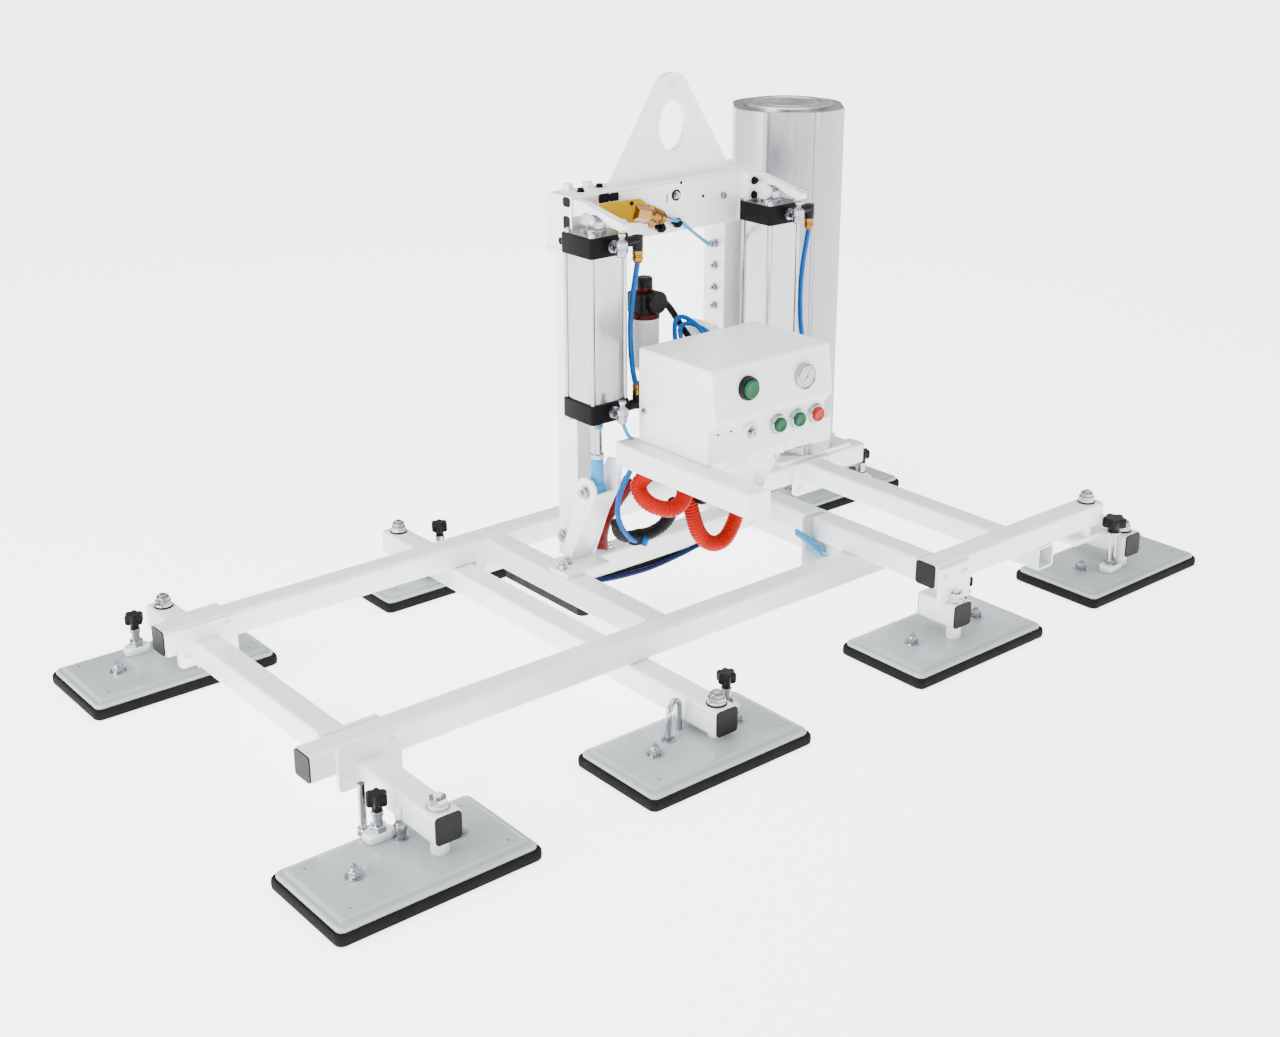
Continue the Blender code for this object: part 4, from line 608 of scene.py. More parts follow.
class StudioSettings(bpy.types.PropertyGroup):
    """Camera and light of the studio."""

    focal_length: bpy.props.FloatProperty(
        name="Focal Length", description="Lens of the camera", default=48.88, min=10, max=200)
    eye_height: bpy.props.FloatProperty(
        name="Eye Height", description="Height of the camera above the floor",
        subtype="DISTANCE", default=1.23, min=0.2, max=4)
    key_power: bpy.props.FloatProperty(
        name="Key Light", description="Power of the large overhead light", default=50.0, min=0, max=1000)
    side_power: bpy.props.FloatProperty(
        name="Side Light", description="Power of the light on the left", default=110.0, min=0, max=1000)
    fill_power: bpy.props.FloatProperty(
        name="Fill Light", description="Power of the light in front", default=14.0, min=0, max=1000)
    floor_glow: bpy.props.FloatProperty(
        name="Floor Glow", description="Light that the pale floor gives off by itself",
        default=3.0, min=0, max=10)
    world_strength: bpy.props.FloatProperty(
        name="World Strength", description="Brightness of the studio's walls", default=1.7, min=0, max=5)
    backdrop: bpy.props.FloatVectorProperty(
        name="Backdrop", description="Colour of the floor and backdrop",
        subtype="COLOR", default=(0.93, 0.93, 0.93), min=0, max=1)


# Pieces


class LIFTER_OT_frame_paint(bpy.types.Operator):
    """Paint the welded frame, the portal and every CAD node that stays in view"""

    bl_idname = "lifter.frame_paint"
    bl_label = "Frame Paint"

    def execute(self, context):
        finishes = {
            "control_box": "box", "vacuum_tank": "tank", "silencer": "plastic",
            "vacuum_manifold": "black", "key_switch": "chrome", "ball_valve": "brass",
            "button_red": "red", "filter_regulator": "black",
        }
        for name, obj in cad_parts.items():
            finish = finishes.get(name, "paint")
            if name.startswith("button_green"):
                finish = "green"
            obj.data.materials.clear()
            obj.data.materials.append(palette()[finish])
        return {"FINISHED"}


class LIFTER_OT_pads(bpy.types.Operator):
    """Make the foam rings, the pressed plates, the dome nuts and the hand valves"""

    bl_idname = "lifter.pads"
    bl_label = "Foam Pads"

    def execute(self, context):
        step = context.scene.lifter_sizes.plate_step
        for number in PAD_NUMBERS:
            self.foam(number)
            self.plate(number, step)
            self.fasteners(number)
            self.valve(number)
        self.air_fittings()
        return {"FINISHED"}

    def foam(self, number):
        """The sealing foam, its sides a little bulged under the plate."""
        low, high = box_of(f"pad_foam_{number}")
        centre = (low + high) / 2
        length, width = high.x - low.x, high.y - low.y
        depth = high.z - low.z
        bm = bmesh.new()
        rings = []
        for share, shrink in ((0.0, 0.0022), (0.10, 0.0006), (0.45, 0.0), (0.85, 0.0004), (1.0, 0.0016)):
            outline = rounded(length - 2 * shrink, width - 2 * shrink, 0.010, 6)
            rings.append([bm.verts.new((centre.x + u, centre.y + v, low.z + depth * share))
                          for u, v in outline])
        close_rings(bm, rings)
        piece = to_object("foam", bm)
        dress(piece, f"foam_ring_{number}", "base", "foam")
        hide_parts(f"pad_foam_{number}")

    def plate(self, number, step):
        """The pressed plate: a stepped rim, a soft shoulder and a flat top with four small rivets."""
        low, high = box_of(f"pad_foam_{number}")
        centre = (low + high) / 2
        base = high.z + 0.0003
        inset = 0.005
        length, width = high.x - low.x - 2 * inset, high.y - low.y - 2 * inset
        top = base + 0.011
        bm = bmesh.new()
        profile = [(0.0, 0.0), (0.0, 0.0034), (0.0005, 0.0047), (0.0015, 0.0056), (0.0030, 0.0060),
                   (0.0064, 0.0061), (0.0070, 0.0057), (0.0078, 0.0060), (0.0092, 0.0075 + step * 0.2),
                   (0.0106, 0.0098), (0.0124, 0.0107), (0.0150, 0.0110)]
        rings = []
        for shrink, rise in profile:
            outline = rounded(length - 2 * shrink, width - 2 * shrink, max(0.004, 0.010 - shrink * 0.5), 6)
            rings.append([bm.verts.new((centre.x + u, centre.y + v, base + rise)) for u, v in outline])
        close_rings(bm, rings)
        piece = to_object("plate", bm)
        dress(piece, f"pressed_plate_{number}", "base", "plate", 50)
        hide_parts(f"pad_plate_{number}")
        spots = [((centre.x + sx * (length / 2 - 0.030), centre.y + sy * (width / 2 - 0.026), top - 0.0002), UP)
                 for sx, sy in ((1, 1), (1, -1), (-1, 1), (-1, -1))]
        bm = bmesh.new()
        for place, direction in spots:
            add_lathe(bm, [(0, 0.0), (0.0022, 0.0), (0.0020, 0.0006), (0.0011, 0.0004), (0, 0.0004)],
                      place, direction, 16)
        dress(to_object("rivets", bm), f"plate_rivets_{number}", "base", "zinc")

    def fasteners(self, number):
        """Two dome nuts on washers."""
        low, high = box_of(f"pad_foam_{number}")
        centre = (low + high) / 2
        top = high.z + PLATE_RISE
        bm = bmesh.new()
        for sign in (-1, 1):
            place = (centre.x + sign * 0.076, centre.y, top - 0.0003)
            add_lathe(bm, [(0, 0), (0.0125, 0), (0.0128, 0.0008), (0.0125, 0.0016), (0, 0.0016)], place, UP, 32)
            add_lathe(bm, [(0, 0), (0.0096, 0), (0.0096, 0.0014), (0, 0.0016)],
                      (place[0], place[1], place[2] + 0.0016), UP, 24)
            add_prism(bm, hexagon(0.0092), 0.0068, (place[0], place[1], place[2] + 0.003), UP, 0.0006)
            add_lathe(bm, [(0, 0), (0.0070, 0), (0.0062, 0.0024), (0.0044, 0.0046), (0.0030, 0.0052),
                           (0.0030, 0.0072), (0.0022, 0.0080), (0, 0.0082)],
                      (place[0], place[1], place[2] + 0.0096), UP, 24)
        dress(to_object("dome_nuts", bm), f"dome_nuts_{number}", "base", "zinc", 28)

    def valve(self, number):
        """The port block, its stem, and the lobed knob on it."""
        low, high = box_of(f"valve_knob_{number}")
        centre = (low + high) / 2
        plate_top = box_of(f"pad_foam_{number}")[1].z + PLATE_RISE
        bm = bmesh.new()
        add_prism(bm, rounded(0.040, 0.026, 0.009, 5), 0.012, (centre.x, centre.y, plate_top - 0.0004), UP, 0.0025)
        dress(to_object("port", bm), f"valve_port_{number}", "base", "paint")
        bm = bmesh.new()
        foot = plate_top + 0.0112
        stem = low.z - foot - 0.0003
        add_prism(bm, hexagon(0.0115), min(0.009, stem * 0.4), (centre.x, centre.y, foot), UP, 0.0006)
        if number in (6, 7):
            for side in (-1, 1):
                leg = [(0, 0), (0.0048, 0), (0.0048, 0.003), (0.0033, 0.004), (0.0033, stem - 0.001), (0, stem)]
                add_lathe(bm, leg, (centre.x + side * 0.0075, centre.y, foot), UP, 24)
            add_lathe(bm, [(0, 0), (0.0125, 0), (0.0125, 0.0035), (0, 0.0035)],
                      (centre.x, centre.y, low.z - 0.0040), UP, 28)
        else:
            shaft = [(0, 0), (0.0082, 0), (0.0082, 0.002), (0.0066, 0.003), (0.0066, stem - 0.007),
                     (0.0080, stem - 0.006), (0.0080, stem - 0.0006), (0.0074, stem), (0, stem)]
            add_lathe(bm, shaft, (centre.x, centre.y, foot), UP, 32)
        dress(to_object("stem", bm), f"valve_stem_{number}", "base", "chrome", 30)
        radius = (high.x - low.x) / 2
        lobes = 5 if radius > 0.018 else 6
        bm = bmesh.new()
        outline = []
        for k in range(lobes * 12):
            angle = math.tau * k / (lobes * 12)
            swell = 0.86 + 0.14 * math.cos(lobes * angle)
            outline.append((radius * swell * math.cos(angle), radius * swell * math.sin(angle)))
        height = high.z - low.z
        add_prism(bm, outline, height * 0.66, (centre.x, centre.y, low.z + height * 0.34), UP, 0.0022)
        add_lathe(bm, [(0, 0), (radius * 0.46, 0), (radius * 0.46, height * 0.2), (radius * 0.62, height * 0.36),
                       (0, height * 0.36)], (centre.x, centre.y, low.z), UP, 32)
        knob = to_object("knob", bm)
        dress(knob, f"lobed_knob_{number}", f"valve_knob_{number}", "black", 40)
        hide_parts(f"valve_knob_{number}")

    def air_fittings(self):
        """The chromed pipes, the upright rod and the clamp that stand on the front pads."""
        top = box_of("pad_foam_5")[1].z + PLATE_RISE
        hose("pad_pipe", [(-0.292, -0.364, top), (-0.292, -0.364, top + 0.034), (-0.289, -0.363, top + 0.046),
                          (-0.277, -0.358, top + 0.053), (-0.264, -0.352, top + 0.046), (-0.260, -0.350, top + 0.034),
                          (-0.260, -0.350, top)], 0.0042, "chrome", "base")
        hose("pad_upright", [(-0.748, -0.301, top + 0.002), (-0.748, -0.301, top + 0.040),
                             (-0.748, -0.301, top + 0.074)], 0.0048, "chrome", "base")
        bm = bmesh.new()
        add_lathe(bm, [(0, 0), (0.0105, 0), (0.0105, 0.0025), (0.0070, 0.0035), (0.0070, 0.008), (0, 0.008)],
                  (-0.292, -0.364, top - 0.0004), UP, 28)
        add_prism(bm, hexagon(0.0095), 0.009, (-0.748, -0.301, top + 0.001), UP, 0.0006)
        add_lathe(bm, [(0, 0), (0.0100, 0), (0.0100, 0.003), (0.0072, 0.004), (0.0072, 0.012), (0.0085, 0.013),
                       (0.0085, 0.021), (0.0070, 0.024), (0, 0.025)], (-0.716, -0.338, top - 0.0004), UP, 28)
        dress(to_object("nipples", bm), "pad_nipples", "base", "zinc", 30)
        bm = bmesh.new()
        ring = [(0.0085, -0.0045), (0.0125, -0.0045), (0.0140, -0.0030), (0.0140, 0.0030), (0.0125, 0.0045),
                (0.0085, 0.0045), (0.0085, -0.0045)]
        add_lathe(bm, ring, (-0.712, -0.330, top + 0.036), (0.75, -0.66, 0.0), 36)
        dress(to_object("clamp", bm), "pad_clamp", "base", "plastic", 30)


class LIFTER_OT_tube_plugs(bpy.types.Operator):
    """Close the open tube ends with black plugs"""

    bl_idname = "lifter.tube_plugs"
    bl_label = "Tube Plugs"

    def execute(self, context):
        thickness = context.scene.lifter_sizes.plug_thickness
        left, right, back = Vector((-1, 0, 0)), Vector((1, 0, 0)), Vector((0, 1, 0))
        along_x = (("front_rail", (left, right)), ("rear_rail", (left, right)),
                   ("rear_right_beam", (left, right)), ("front_beam", (left, right)))
        ends = []
        for name, directions in along_x:
            low, high = box_of(name)
            for direction in directions:
                x = high.x if direction.x > 0 else low.x
                ends.append(((x, (low.y + high.y) / 2, low.z + TUBE_HALF), direction))
        along_y = (
            ("mid_cross_arm", (FRONT, back), 0.0557), ("arm_front_left", (FRONT,), 0.070),
            ("arm_rear_left", (back,), 0.070), ("arm_front_inner", (FRONT, back), 0.070),
            ("arm_front_right", (FRONT,), 0.070), ("arm_rear_right", (FRONT, back), 0.0557),
            ("handle_beam_left", (back,), 0.1363),
        )
        for name, directions, level in along_y:
            low, high = box_of(name)
            x = high.x - TUBE_HALF if name == "arm_front_right" else (low.x + high.x) / 2
            for direction in directions:
                ends.append(((x, high.y if direction.y > 0 else low.y, level), direction))
        made = grow("plugs", point_mesh(ends), tube_plug_tree(), "black", thickness=thickness)
        dress(made, "tube_end_plugs", "base", "black")
        self.welded_caps(thickness)
        return {"FINISHED"}

    def welded_caps(self, thickness):
        """White caps welded on the front ends of the box support's beams."""
        low, high = box_of("box_support")
        middle = low.z + TUBE_HALF
        caps = [((low.x + TUBE_HALF, low.y, middle), FRONT), ((high.x - TUBE_HALF, -0.152, middle), FRONT)]
        made = grow("caps", point_mesh(caps), tube_plug_tree(), "paint", thickness=thickness * 0.5,
                    width=0.0398, corner=0.004)
        dress(made, "support_end_caps", "base", "paint")


class LIFTER_OT_fasteners(bpy.types.Operator):
    """Put nuts on the studs and bolts on the feet, and make the lever brackets"""

    bl_idname = "lifter.fasteners"
    bl_label = "Nuts and Bolts"

    def execute(self, context):
        studs = []
        for name in ("arm_front_left", "arm_rear_left", "arm_front_inner", "arm_front_right"):
            low, high = box_of(name)
            x = high.x - 0.020 if name == "arm_front_right" else (low.x + high.x) / 2
            y = high.y - 0.021 if name == "arm_rear_left" else low.y + 0.021
            if name == "arm_front_inner":
                y = low.y + 0.015
            studs.append(((x, y, 0.0900), UP))
        low, high = box_of("mid_cross_arm")
        studs += [(((low.x + high.x) / 2, low.y + 0.021, 0.0757), UP),
                  (((low.x + high.x) / 2, high.y - 0.021, 0.0757), UP)]
        low, high = box_of("front_beam")
        studs.append(((high.x - 0.020, (low.y + high.y) / 2, 0.1563), UP))
        plain = (studs[0], studs[2])
        stacked = [stud for stud in studs if stud not in plain]
        bolts("plain_stud_nuts", plain, "zinc", "base", washer_radius=0.0150, washer_height=0.0028,
              head_radius=0.0122, head_height=0.0115, tip_radius=0.0070, tip_height=0.0032)
        rings, stack = bmesh.new(), bmesh.new()
        for place, direction in stacked:
            add_lathe(rings, [(0, 0), (0.0148, 0), (0.0152, 0.0012), (0.0148, 0.0026), (0, 0.0026)], place, direction)
            add_prism(stack, hexagon(0.0138), 0.0074, (place[0], place[1], place[2] + 0.0024), direction, 0.0006)
            profile = [(0, 0.0096), (0.0122, 0.0096), (0.0124, 0.0104), (0.0122, 0.0112), (0.0104, 0.0118),
                       (0.0104, 0.0160), (0.0092, 0.0176), (0.0062, 0.0180), (0.0058, 0.0204), (0, 0.0208)]
            add_lathe(stack, profile, place, direction, 40)
        dress(to_object("lock_rings", rings), "stud_lock_rings", "base", "black")
        dress(to_object("nuts", stack), "stacked_stud_nuts", "base", "zinc", 30)
        self.foot_bolts()
        self.pivot_bolts()
        self.lever_brackets()
        return {"FINISHED"}

    def foot_bolts(self):
        """Bolts through the lever brackets' feet into the base beams."""
        places = []
        for side, x, way in CYLINDERS:
            places += [((x + way * 0.0345, 0.0420, 0.1243), UP), ((x + way * 0.0535, 0.0300, 0.1243), UP)]
        places.append(((-0.0580, 0.0600, BRACKET_FOOT), UP))
        bolts("foot_bolts", places, "zinc", "base", washer_radius=0.0085, washer_height=0.0016,
              head_radius=0.0066, head_height=0.0055, tip_radius=0.0036, tip_height=0.0050)

    def lever_brackets(self):
        """The leaning U brackets: a low outer cheek, a tall inner cheek, a web in front and a foot plate."""
        outer = [(0.0500, 0.1243), (0.0640, 0.1243), (0.0640, 0.1520), (0.0330, 0.2320), (0.0290, 0.2600),
                 (0.0210, 0.2730), (0.0075, 0.2770), (-0.0060, 0.2740), (-0.0150, 0.2640), (-0.0160, 0.2500)]
        inner = [(0.0440, 0.1243), (0.0530, 0.1243), (0.0530, 0.1750), (0.0300, 0.2450), (0.0150, 0.2850),
                 (0.0030, 0.3030), (-0.0284, 0.3060), (-0.0284, 0.2960), (-0.0220, 0.2620), (0.0060, 0.2120)]
        web = [(-0.0150, 0.2520), (0.0480, 0.1243), (0.0530, 0.1243), (-0.0105, 0.2530)]
        for side, x, way in CYLINDERS:
            bm = bmesh.new()
            add_side_prism(bm, outer, x + way * 0.0205, 0.0050)
            add_side_prism(bm, inner, x - way * 0.0205, 0.0050)
            add_side_prism(bm, web, x, 0.0375)
            add_prism(bm, rounded(0.087, 0.050, 0.003, 3), 0.0080, (x + way * 0.0205, 0.0290, BRACKET_FOOT),
                      UP, 0.0008)
            piece = dress(to_object("bracket", bm), f"lever_bracket_plates_{side}", "base", "paint")
            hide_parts(f"lever_bracket_{side}")

    def pivot_bolts(self):
        """The bolts that hold the rods' eyes."""
        places = []
        for side, x, way in CYLINDERS:
            for sign in (-1, 1):
                places.append(((x + sign * 0.0231, CYLINDER_Y, ROD_EYE_Z), (sign, 0, 0)))
        bolts("pivot_bolts", places, "zinc", "base", washer_radius=0.0115, washer_height=0.0016,
              head_radius=0.0090, head_height=0.0066, tip_radius=0.0048, tip_height=0.0040)


class LIFTER_OT_weld_beads(bpy.types.Operator):
    """Run weld beads round the joints of the frame"""

    bl_idname = "lifter.weld_beads"
    bl_label = "Weld Beads"

    def execute(self, context):
        radius = context.scene.lifter_sizes.bead_radius
        loops = []
        for x, face, side in ((-0.695, -0.2363, -1), (-0.695, 0.2803, 1)):
            loops.append(self.square((x, face + side * 0.001, 0.070)))
        for x, face in ((-0.695, -0.1797), (-0.695, 0.2237)):
            loops.append(self.square((x, face, 0.070)))
        loops.append(self.square((-0.167, 0.2237, 0.096)))
        loops.append(self.square((0.507, 0.1467, 0.096)))
        for k, points in enumerate(loops):
            made = grow("bead", path_mesh(points), ribbed_hose_tree(), "paint",
                        radius=radius, rib_pitch=0.0042, rib_depth=0.0004)
            dress(made, f"weld_bead_{k + 1}", "base", "paint", 60)
        self.portal_beads(radius)
        return {"FINISHED"}

    def square(self, centre, size=0.0404):
        """A round-cornered square loop round a tube."""
        points = [(centre[0] + u, centre[1], centre[2] + v) for u, v in rounded(size, size, 0.004, 3)]
        return points + points[:1]

    def portal_beads(self, radius):
        """Beads under the crossbar and along the lifting eye's foot."""
        low, high = box_of("lifting_eye")
        y0, y1 = PORTAL_Y - 0.0072, PORTAL_Y + 0.0072
        z = low.z + 0.0008
        runs = [[(low.x + 0.003 + k * (high.x - low.x - 0.006) / 24, y, z) for k in range(25)] for y in (y0, y1)]
        for k, points in enumerate(runs):
            made = grow("bead", path_mesh(points), ribbed_hose_tree(), "paint",
                        radius=radius, rib_pitch=0.0045, rib_depth=0.0004)
            dress(made, f"eye_bead_{k + 1}", "portal", "paint", 60)


class LIFTER_OT_portal_details(bpy.types.Operator):
    """Add the portal's bolts, hinge pin heads and dark sheets of painted shade for its holes"""

    bl_idname = "lifter.portal_details"
    bl_label = "Portal Details"

    def execute(self, context):
        left_face = -0.1316
        # Thin dark sheets on the post and crossbar for holes and slots: the shade inside each hole, painted on.
        bm = bmesh.new()
        for y, z, width, height in ((0.0640, 0.7020, 0.018, 0.015), (0.0645, 0.6700, 0.016, 0.021),
                                    (0.0790, 0.6395, 0.013, 0.011)):
            add_prism(bm, rounded(height, width, 0.0048, 4), 0.0005, (left_face, y, z), (-1, 0, 0))
        for x, z, width, height in ((-0.0673, 0.7015, 0.021, 0.014), (-0.0475, 0.7010, 0.018, 0.013),
                                    (0.0597, 0.6851, 0.0016, 0.014)):
            add_prism(bm, rounded(width, height, min(width, height) * 0.2, 2), 0.0005, (x, PORTAL_FRONT, z), FRONT)
        for x, z in ((0.0886, 0.7060), (0.1357, 0.6786)):
            add_lathe(bm, [(0, 0), (0.0026, 0), (0.0026, 0.0005), (0, 0.0005)], (x, PORTAL_FRONT, z), FRONT, 20)
        dress(to_object("holes", bm), "portal_holes", "portal", "dark")
        bm = bmesh.new()
        add_lathe(bm, [(0.0062, 0), (0.0092, 0), (0.0092, 0.0010), (0.0062, 0.0010), (0.0062, 0)],
                  (0.0784, PORTAL_FRONT + 0.0002, 0.6875), FRONT, 32)
        dress(to_object("ring", bm), "crossbar_bolt_ring", "portal", "ink_and_shade")
        places = [((0.0784, PORTAL_FRONT, 0.6875), FRONT), ((0.1791, PORTAL_FRONT, 0.6746), FRONT)]
        bolts("crossbar_bolts", places, "zinc", "portal", washer_radius=0.0058, washer_height=0.0012,
              head_radius=0.0046, head_height=0.0040, tip_radius=0.0022, tip_height=0.0014)
        places = [((-0.098, 0.104, 0.710), UP), ((-0.062, 0.101, 0.710), UP), ((0.205, 0.100, 0.710), UP),
                  ((0.235, 0.098, 0.710), UP)]
        bolts("cap_bolts", places, "paint", "portal", washer_radius=0.0100, washer_height=0.0016,
              head_radius=0.0086, head_height=0.0075, tip_radius=0.0050, tip_height=0.0012)
        places = [((-0.0905, 0.082, 0.710), UP), ((-0.046, 0.092, 0.710), UP), ((0.2250, 0.0300, 0.6965), FRONT),
                  ((0.2250, 0.0300, 0.6735), FRONT)]
        bolts("dark_bolts", places, "head", "portal", washer_radius=0.0066, washer_height=0.0010,
              head_radius=0.0056, head_height=0.0044, tip_radius=0.0026, tip_height=0.0006)
        places = [((0.0395, PORTAL_FRONT, 0.6420), FRONT), ((0.0735, PORTAL_FRONT, 0.6452), FRONT)]
        bolts("wing_knobs", places, "head", "portal", washer_radius=0.0050, washer_height=0.0060,
              head_radius=0.0085, head_height=0.0060, tip_radius=0.0045, tip_height=0.0050)
        post_spots = [((0.1895, 0.0835, z), (-1, 0, 0)) for z in (0.5887, 0.5517, 0.5139, 0.4831)]
        bolts("post_bolts", post_spots, "zinc", "portal", washer_radius=0.0078, washer_height=0.0012,
              head_radius=0.0058, head_height=0.0044, tip_radius=0.0030, tip_height=0.0050)
        pins = []
        for x in (-0.095, 0.215):
            for sign in (-1, 1):
                pins.append(((x + sign * 0.0363, PORTAL_Y, 0.1508), (sign, 0, 0)))
        bolts("hinge_pin_heads", pins, "zinc", "portal", washer_radius=0.0115, washer_height=0.0012,
              head_radius=0.0092, head_height=0.0045, tip_radius=0.0045, tip_height=0.0020)
        self.sleeve()
        return {"FINISHED"}

    def sleeve(self):
        """The sleeve round the left post's top, the right arm's block and the arms' long tips."""
        bm = bmesh.new()
        add_prism(bm, rounded(0.084, 0.0672, 0.004, 4), 0.0016, (-0.1300, PORTAL_Y, 0.6690), (-1, 0, 0), 0.0006)
        add_prism(bm, rounded(0.0620, 0.0690, 0.004, 4), 0.012, (-0.1010, PORTAL_Y, 0.6160), UP, 0.0012)
        dress(to_object("cheek", bm), "crossbar_end_cheek", "portal", "paint")
        bm = bmesh.new()
        add_prism(bm, rounded(0.0265, 0.0440, 0.003, 3), 0.0235, (0.2247, PORTAL_FRONT, 0.6875), FRONT, 0.0012)
        add_prism(bm, rounded(0.0265, 0.0400, 0.003, 3), 0.0050, (0.2247, PORTAL_FRONT, 0.6480), FRONT, 0.0012)
        dress(to_object("block", bm), "right_arm_block", "portal", "paint")
        top = [(0.054, 0.7080), (0.030, 0.7070), (0.0075, 0.7030), (-0.030, 0.6955), (-0.057, 0.6910)]
        tip = [(-0.060 + 0.0068 * math.cos(math.radians(a)), 0.6842 + 0.0068 * math.sin(math.radians(a)))
               for a in range(80, 281, 20)]
        under = [(-0.030, 0.6840), (-0.008, 0.6925), (0.022, 0.6925), (0.034, 0.6860), (0.054, 0.6810)]
        bm = bmesh.new()
        for side, x, way in CYLINDERS:
            add_side_prism(bm, top + tip + under, x, 0.0140, 0.0020)
        dress(to_object("tips", bm), "cylinder_arm_tips", "portal", "paint")
        places = [((x, -0.060, 0.6905), UP) for side, x, way in CYLINDERS]
        bolts("arm_tip_screws", places, "zinc", "portal", washer_radius=0.0062, washer_height=0.0010,
              head_radius=0.0048, head_height=0.0030, tip_radius=0.0024, tip_height=0.0010)


class LIFTER_OT_cylinders(bpy.types.Operator):
    """Make the tie-rod cylinders, their piston rods and their air fittings"""

    bl_idname = "lifter.cylinders"
    bl_label = "Cylinders"

    def execute(self, context):
        for side, x, way in CYLINDERS:
            self.heads(side, x)
            self.barrel(side, x)
            self.ties(side, x)
            self.rod(side, x)
            self.fittings(side, x)
        return {"FINISHED"}

    def heads(self, side, x):
        """The black end blocks."""
        bm = bmesh.new()
        for z in (0.374, 0.633):
            add_prism(bm, rounded(0.0740, 0.0740, 0.005, 4), 0.031, (x, CYLINDER_Y, z), UP, 0.0010)
        piece = dress(to_object("heads", bm), f"cylinder_heads_{side}", f"cylinder_{side}", "head")
        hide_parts(f"cylinder_{side}")
        bm = bmesh.new()
        add_prism(bm, rounded(0.066, 0.066, 0.004, 3), 0.0012, (x, CYLINDER_Y, 0.6636), UP, 0.0004)
        add_lathe(bm, [(0, 0), (0.017, 0), (0.017, 0.004), (0.014, 0.006), (0, 0.006)], (x, CYLINDER_Y, 0.6644), UP)
        lug = [(-0.011, 0.0), (0.011, 0.0), (0.011, 0.014)]
        lug += [(0.011 * math.cos(math.pi * k / 16), 0.014 + 0.011 * math.sin(math.pi * k / 16))
                for k in range(1, 16)]
        lug += [(-0.011, 0.014)]
        outline = [(v, u) for u, v in lug]
        move = Matrix(((0, 0, 1, x - 0.0068), (0, 1, 0, CYLINDER_Y), (1, 0, 0, 0.6655), (0, 0, 0, 1)))
        low = [bm.verts.new(move @ Vector((u, v, 0.0))) for u, v in outline]
        high = [bm.verts.new(move @ Vector((u, v, 0.0136))) for u, v in outline]
        close_rings(bm, (low, high))
        dress(to_object("lug", bm), f"cylinder_lug_{side}", f"cylinder_{side}", "zinc")

    def barrel(self, side, x):
        """The extruded silver barrel: round sides with flats and tie-rod grooves."""
        half, notch = 0.0330, 0.0062
        bm = bmesh.new()
        outline = []
        for quarter in range(4):
            turn = Matrix.Rotation(math.pi / 2 * quarter, 2)
            points = [Vector((half, v * (half - notch) / 4)) for v in range(-3, 4)]
            points = [p + Vector((0.0008 * (1 - (p.y / half) ** 2), 0)) for p in points]
            points.append(Vector((half - 0.0006, half - notch)))
            points += [Vector((half, half)) + notch * Vector((math.cos(a), math.sin(a)))
                       for a in (math.radians(270 - k * 18) for k in range(1, 5))]
            points.append(Vector((half - notch, half - 0.0006)))
            outline += [tuple(turn @ p) for p in points]
        add_prism(bm, outline, 0.2295, (x, CYLINDER_Y, 0.4043), UP)
        dress(to_object("barrel", bm), f"cylinder_barrel_{side}", f"cylinder_{side}", "barrel", 60)

    def ties(self, side, x):
        """Four tie rods with their nuts at both heads."""
        bm = bmesh.new()
        for sx in (-1, 1):
            for sy in (-1, 1):
                place = (x + sx * 0.0315, CYLINDER_Y + sy * 0.0315, 0.404)
                add_lathe(bm, [(0, 0), (0.0034, 0), (0.0034, 0.230), (0, 0.230)], place, UP, 20)
        dress(to_object("ties", bm), f"tie_rods_{side}", f"cylinder_{side}", "chrome")
        nuts = []
        for sx in (-1, 1):
            for sy in (-1, 1):
                nuts.append(((x + sx * 0.0285, CYLINDER_Y + sy * 0.0285, 0.664), UP))
                nuts.append(((x + sx * 0.0285, CYLINDER_Y + sy * 0.0285, 0.374), -UP))
        bolts(f"tie_nuts_{side}", nuts, "zinc", f"cylinder_{side}", washer_radius=0.0058, washer_height=0.0008,
              head_radius=0.0052, head_height=0.0045, tip_radius=0.0026, tip_height=0.0018)

    def rod(self, side, x):
        """The chromed rod with its nut and ring, and its eye in a pale blue sleeve."""
        bm = bmesh.new()
        add_lathe(bm, [(0, 0), (0.0088, 0), (0.0088, 0.330), (0, 0.330)], (x, CYLINDER_Y, 0.276), UP, 40)
        add_prism(bm, hexagon(0.0125), 0.008, (x, CYLINDER_Y, 0.3050), UP, 0.0006)
        piece = dress(to_object("rod", bm), f"chromed_rod_{side}", f"rod_{side}", "chrome")
        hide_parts(f"piston_rod_{side}")
        bm = bmesh.new()
        add_lathe(bm, [(0.0090, 0), (0.0104, 0.001), (0.0104, 0.006), (0.0098, 0.007), (0.0090, 0.007), (0.0090, 0)],
                  (x, CYLINDER_Y, 0.3550), UP, 32)
        eye = [(0.0052, -0.0095), (0.0128, -0.0095), (0.0138, -0.0085), (0.0138, 0.0085), (0.0128, 0.0095),
               (0.0052, 0.0095), (0.0052, -0.0095)]
        add_lathe(bm, eye, (x, CYLINDER_Y, ROD_EYE_Z), (1, 0, 0), 40)
        add_lathe(bm, [(0, 0), (0.0105, 0), (0.0110, 0.002), (0.0110, 0.036), (0.0095, 0.040), (0, 0.040)],
                  (x, CYLINDER_Y, 0.2645), UP, 32)
        dress(to_object("eye", bm), f"rod_eye_{side}", f"rod_{side}", "pale_blue", 30)

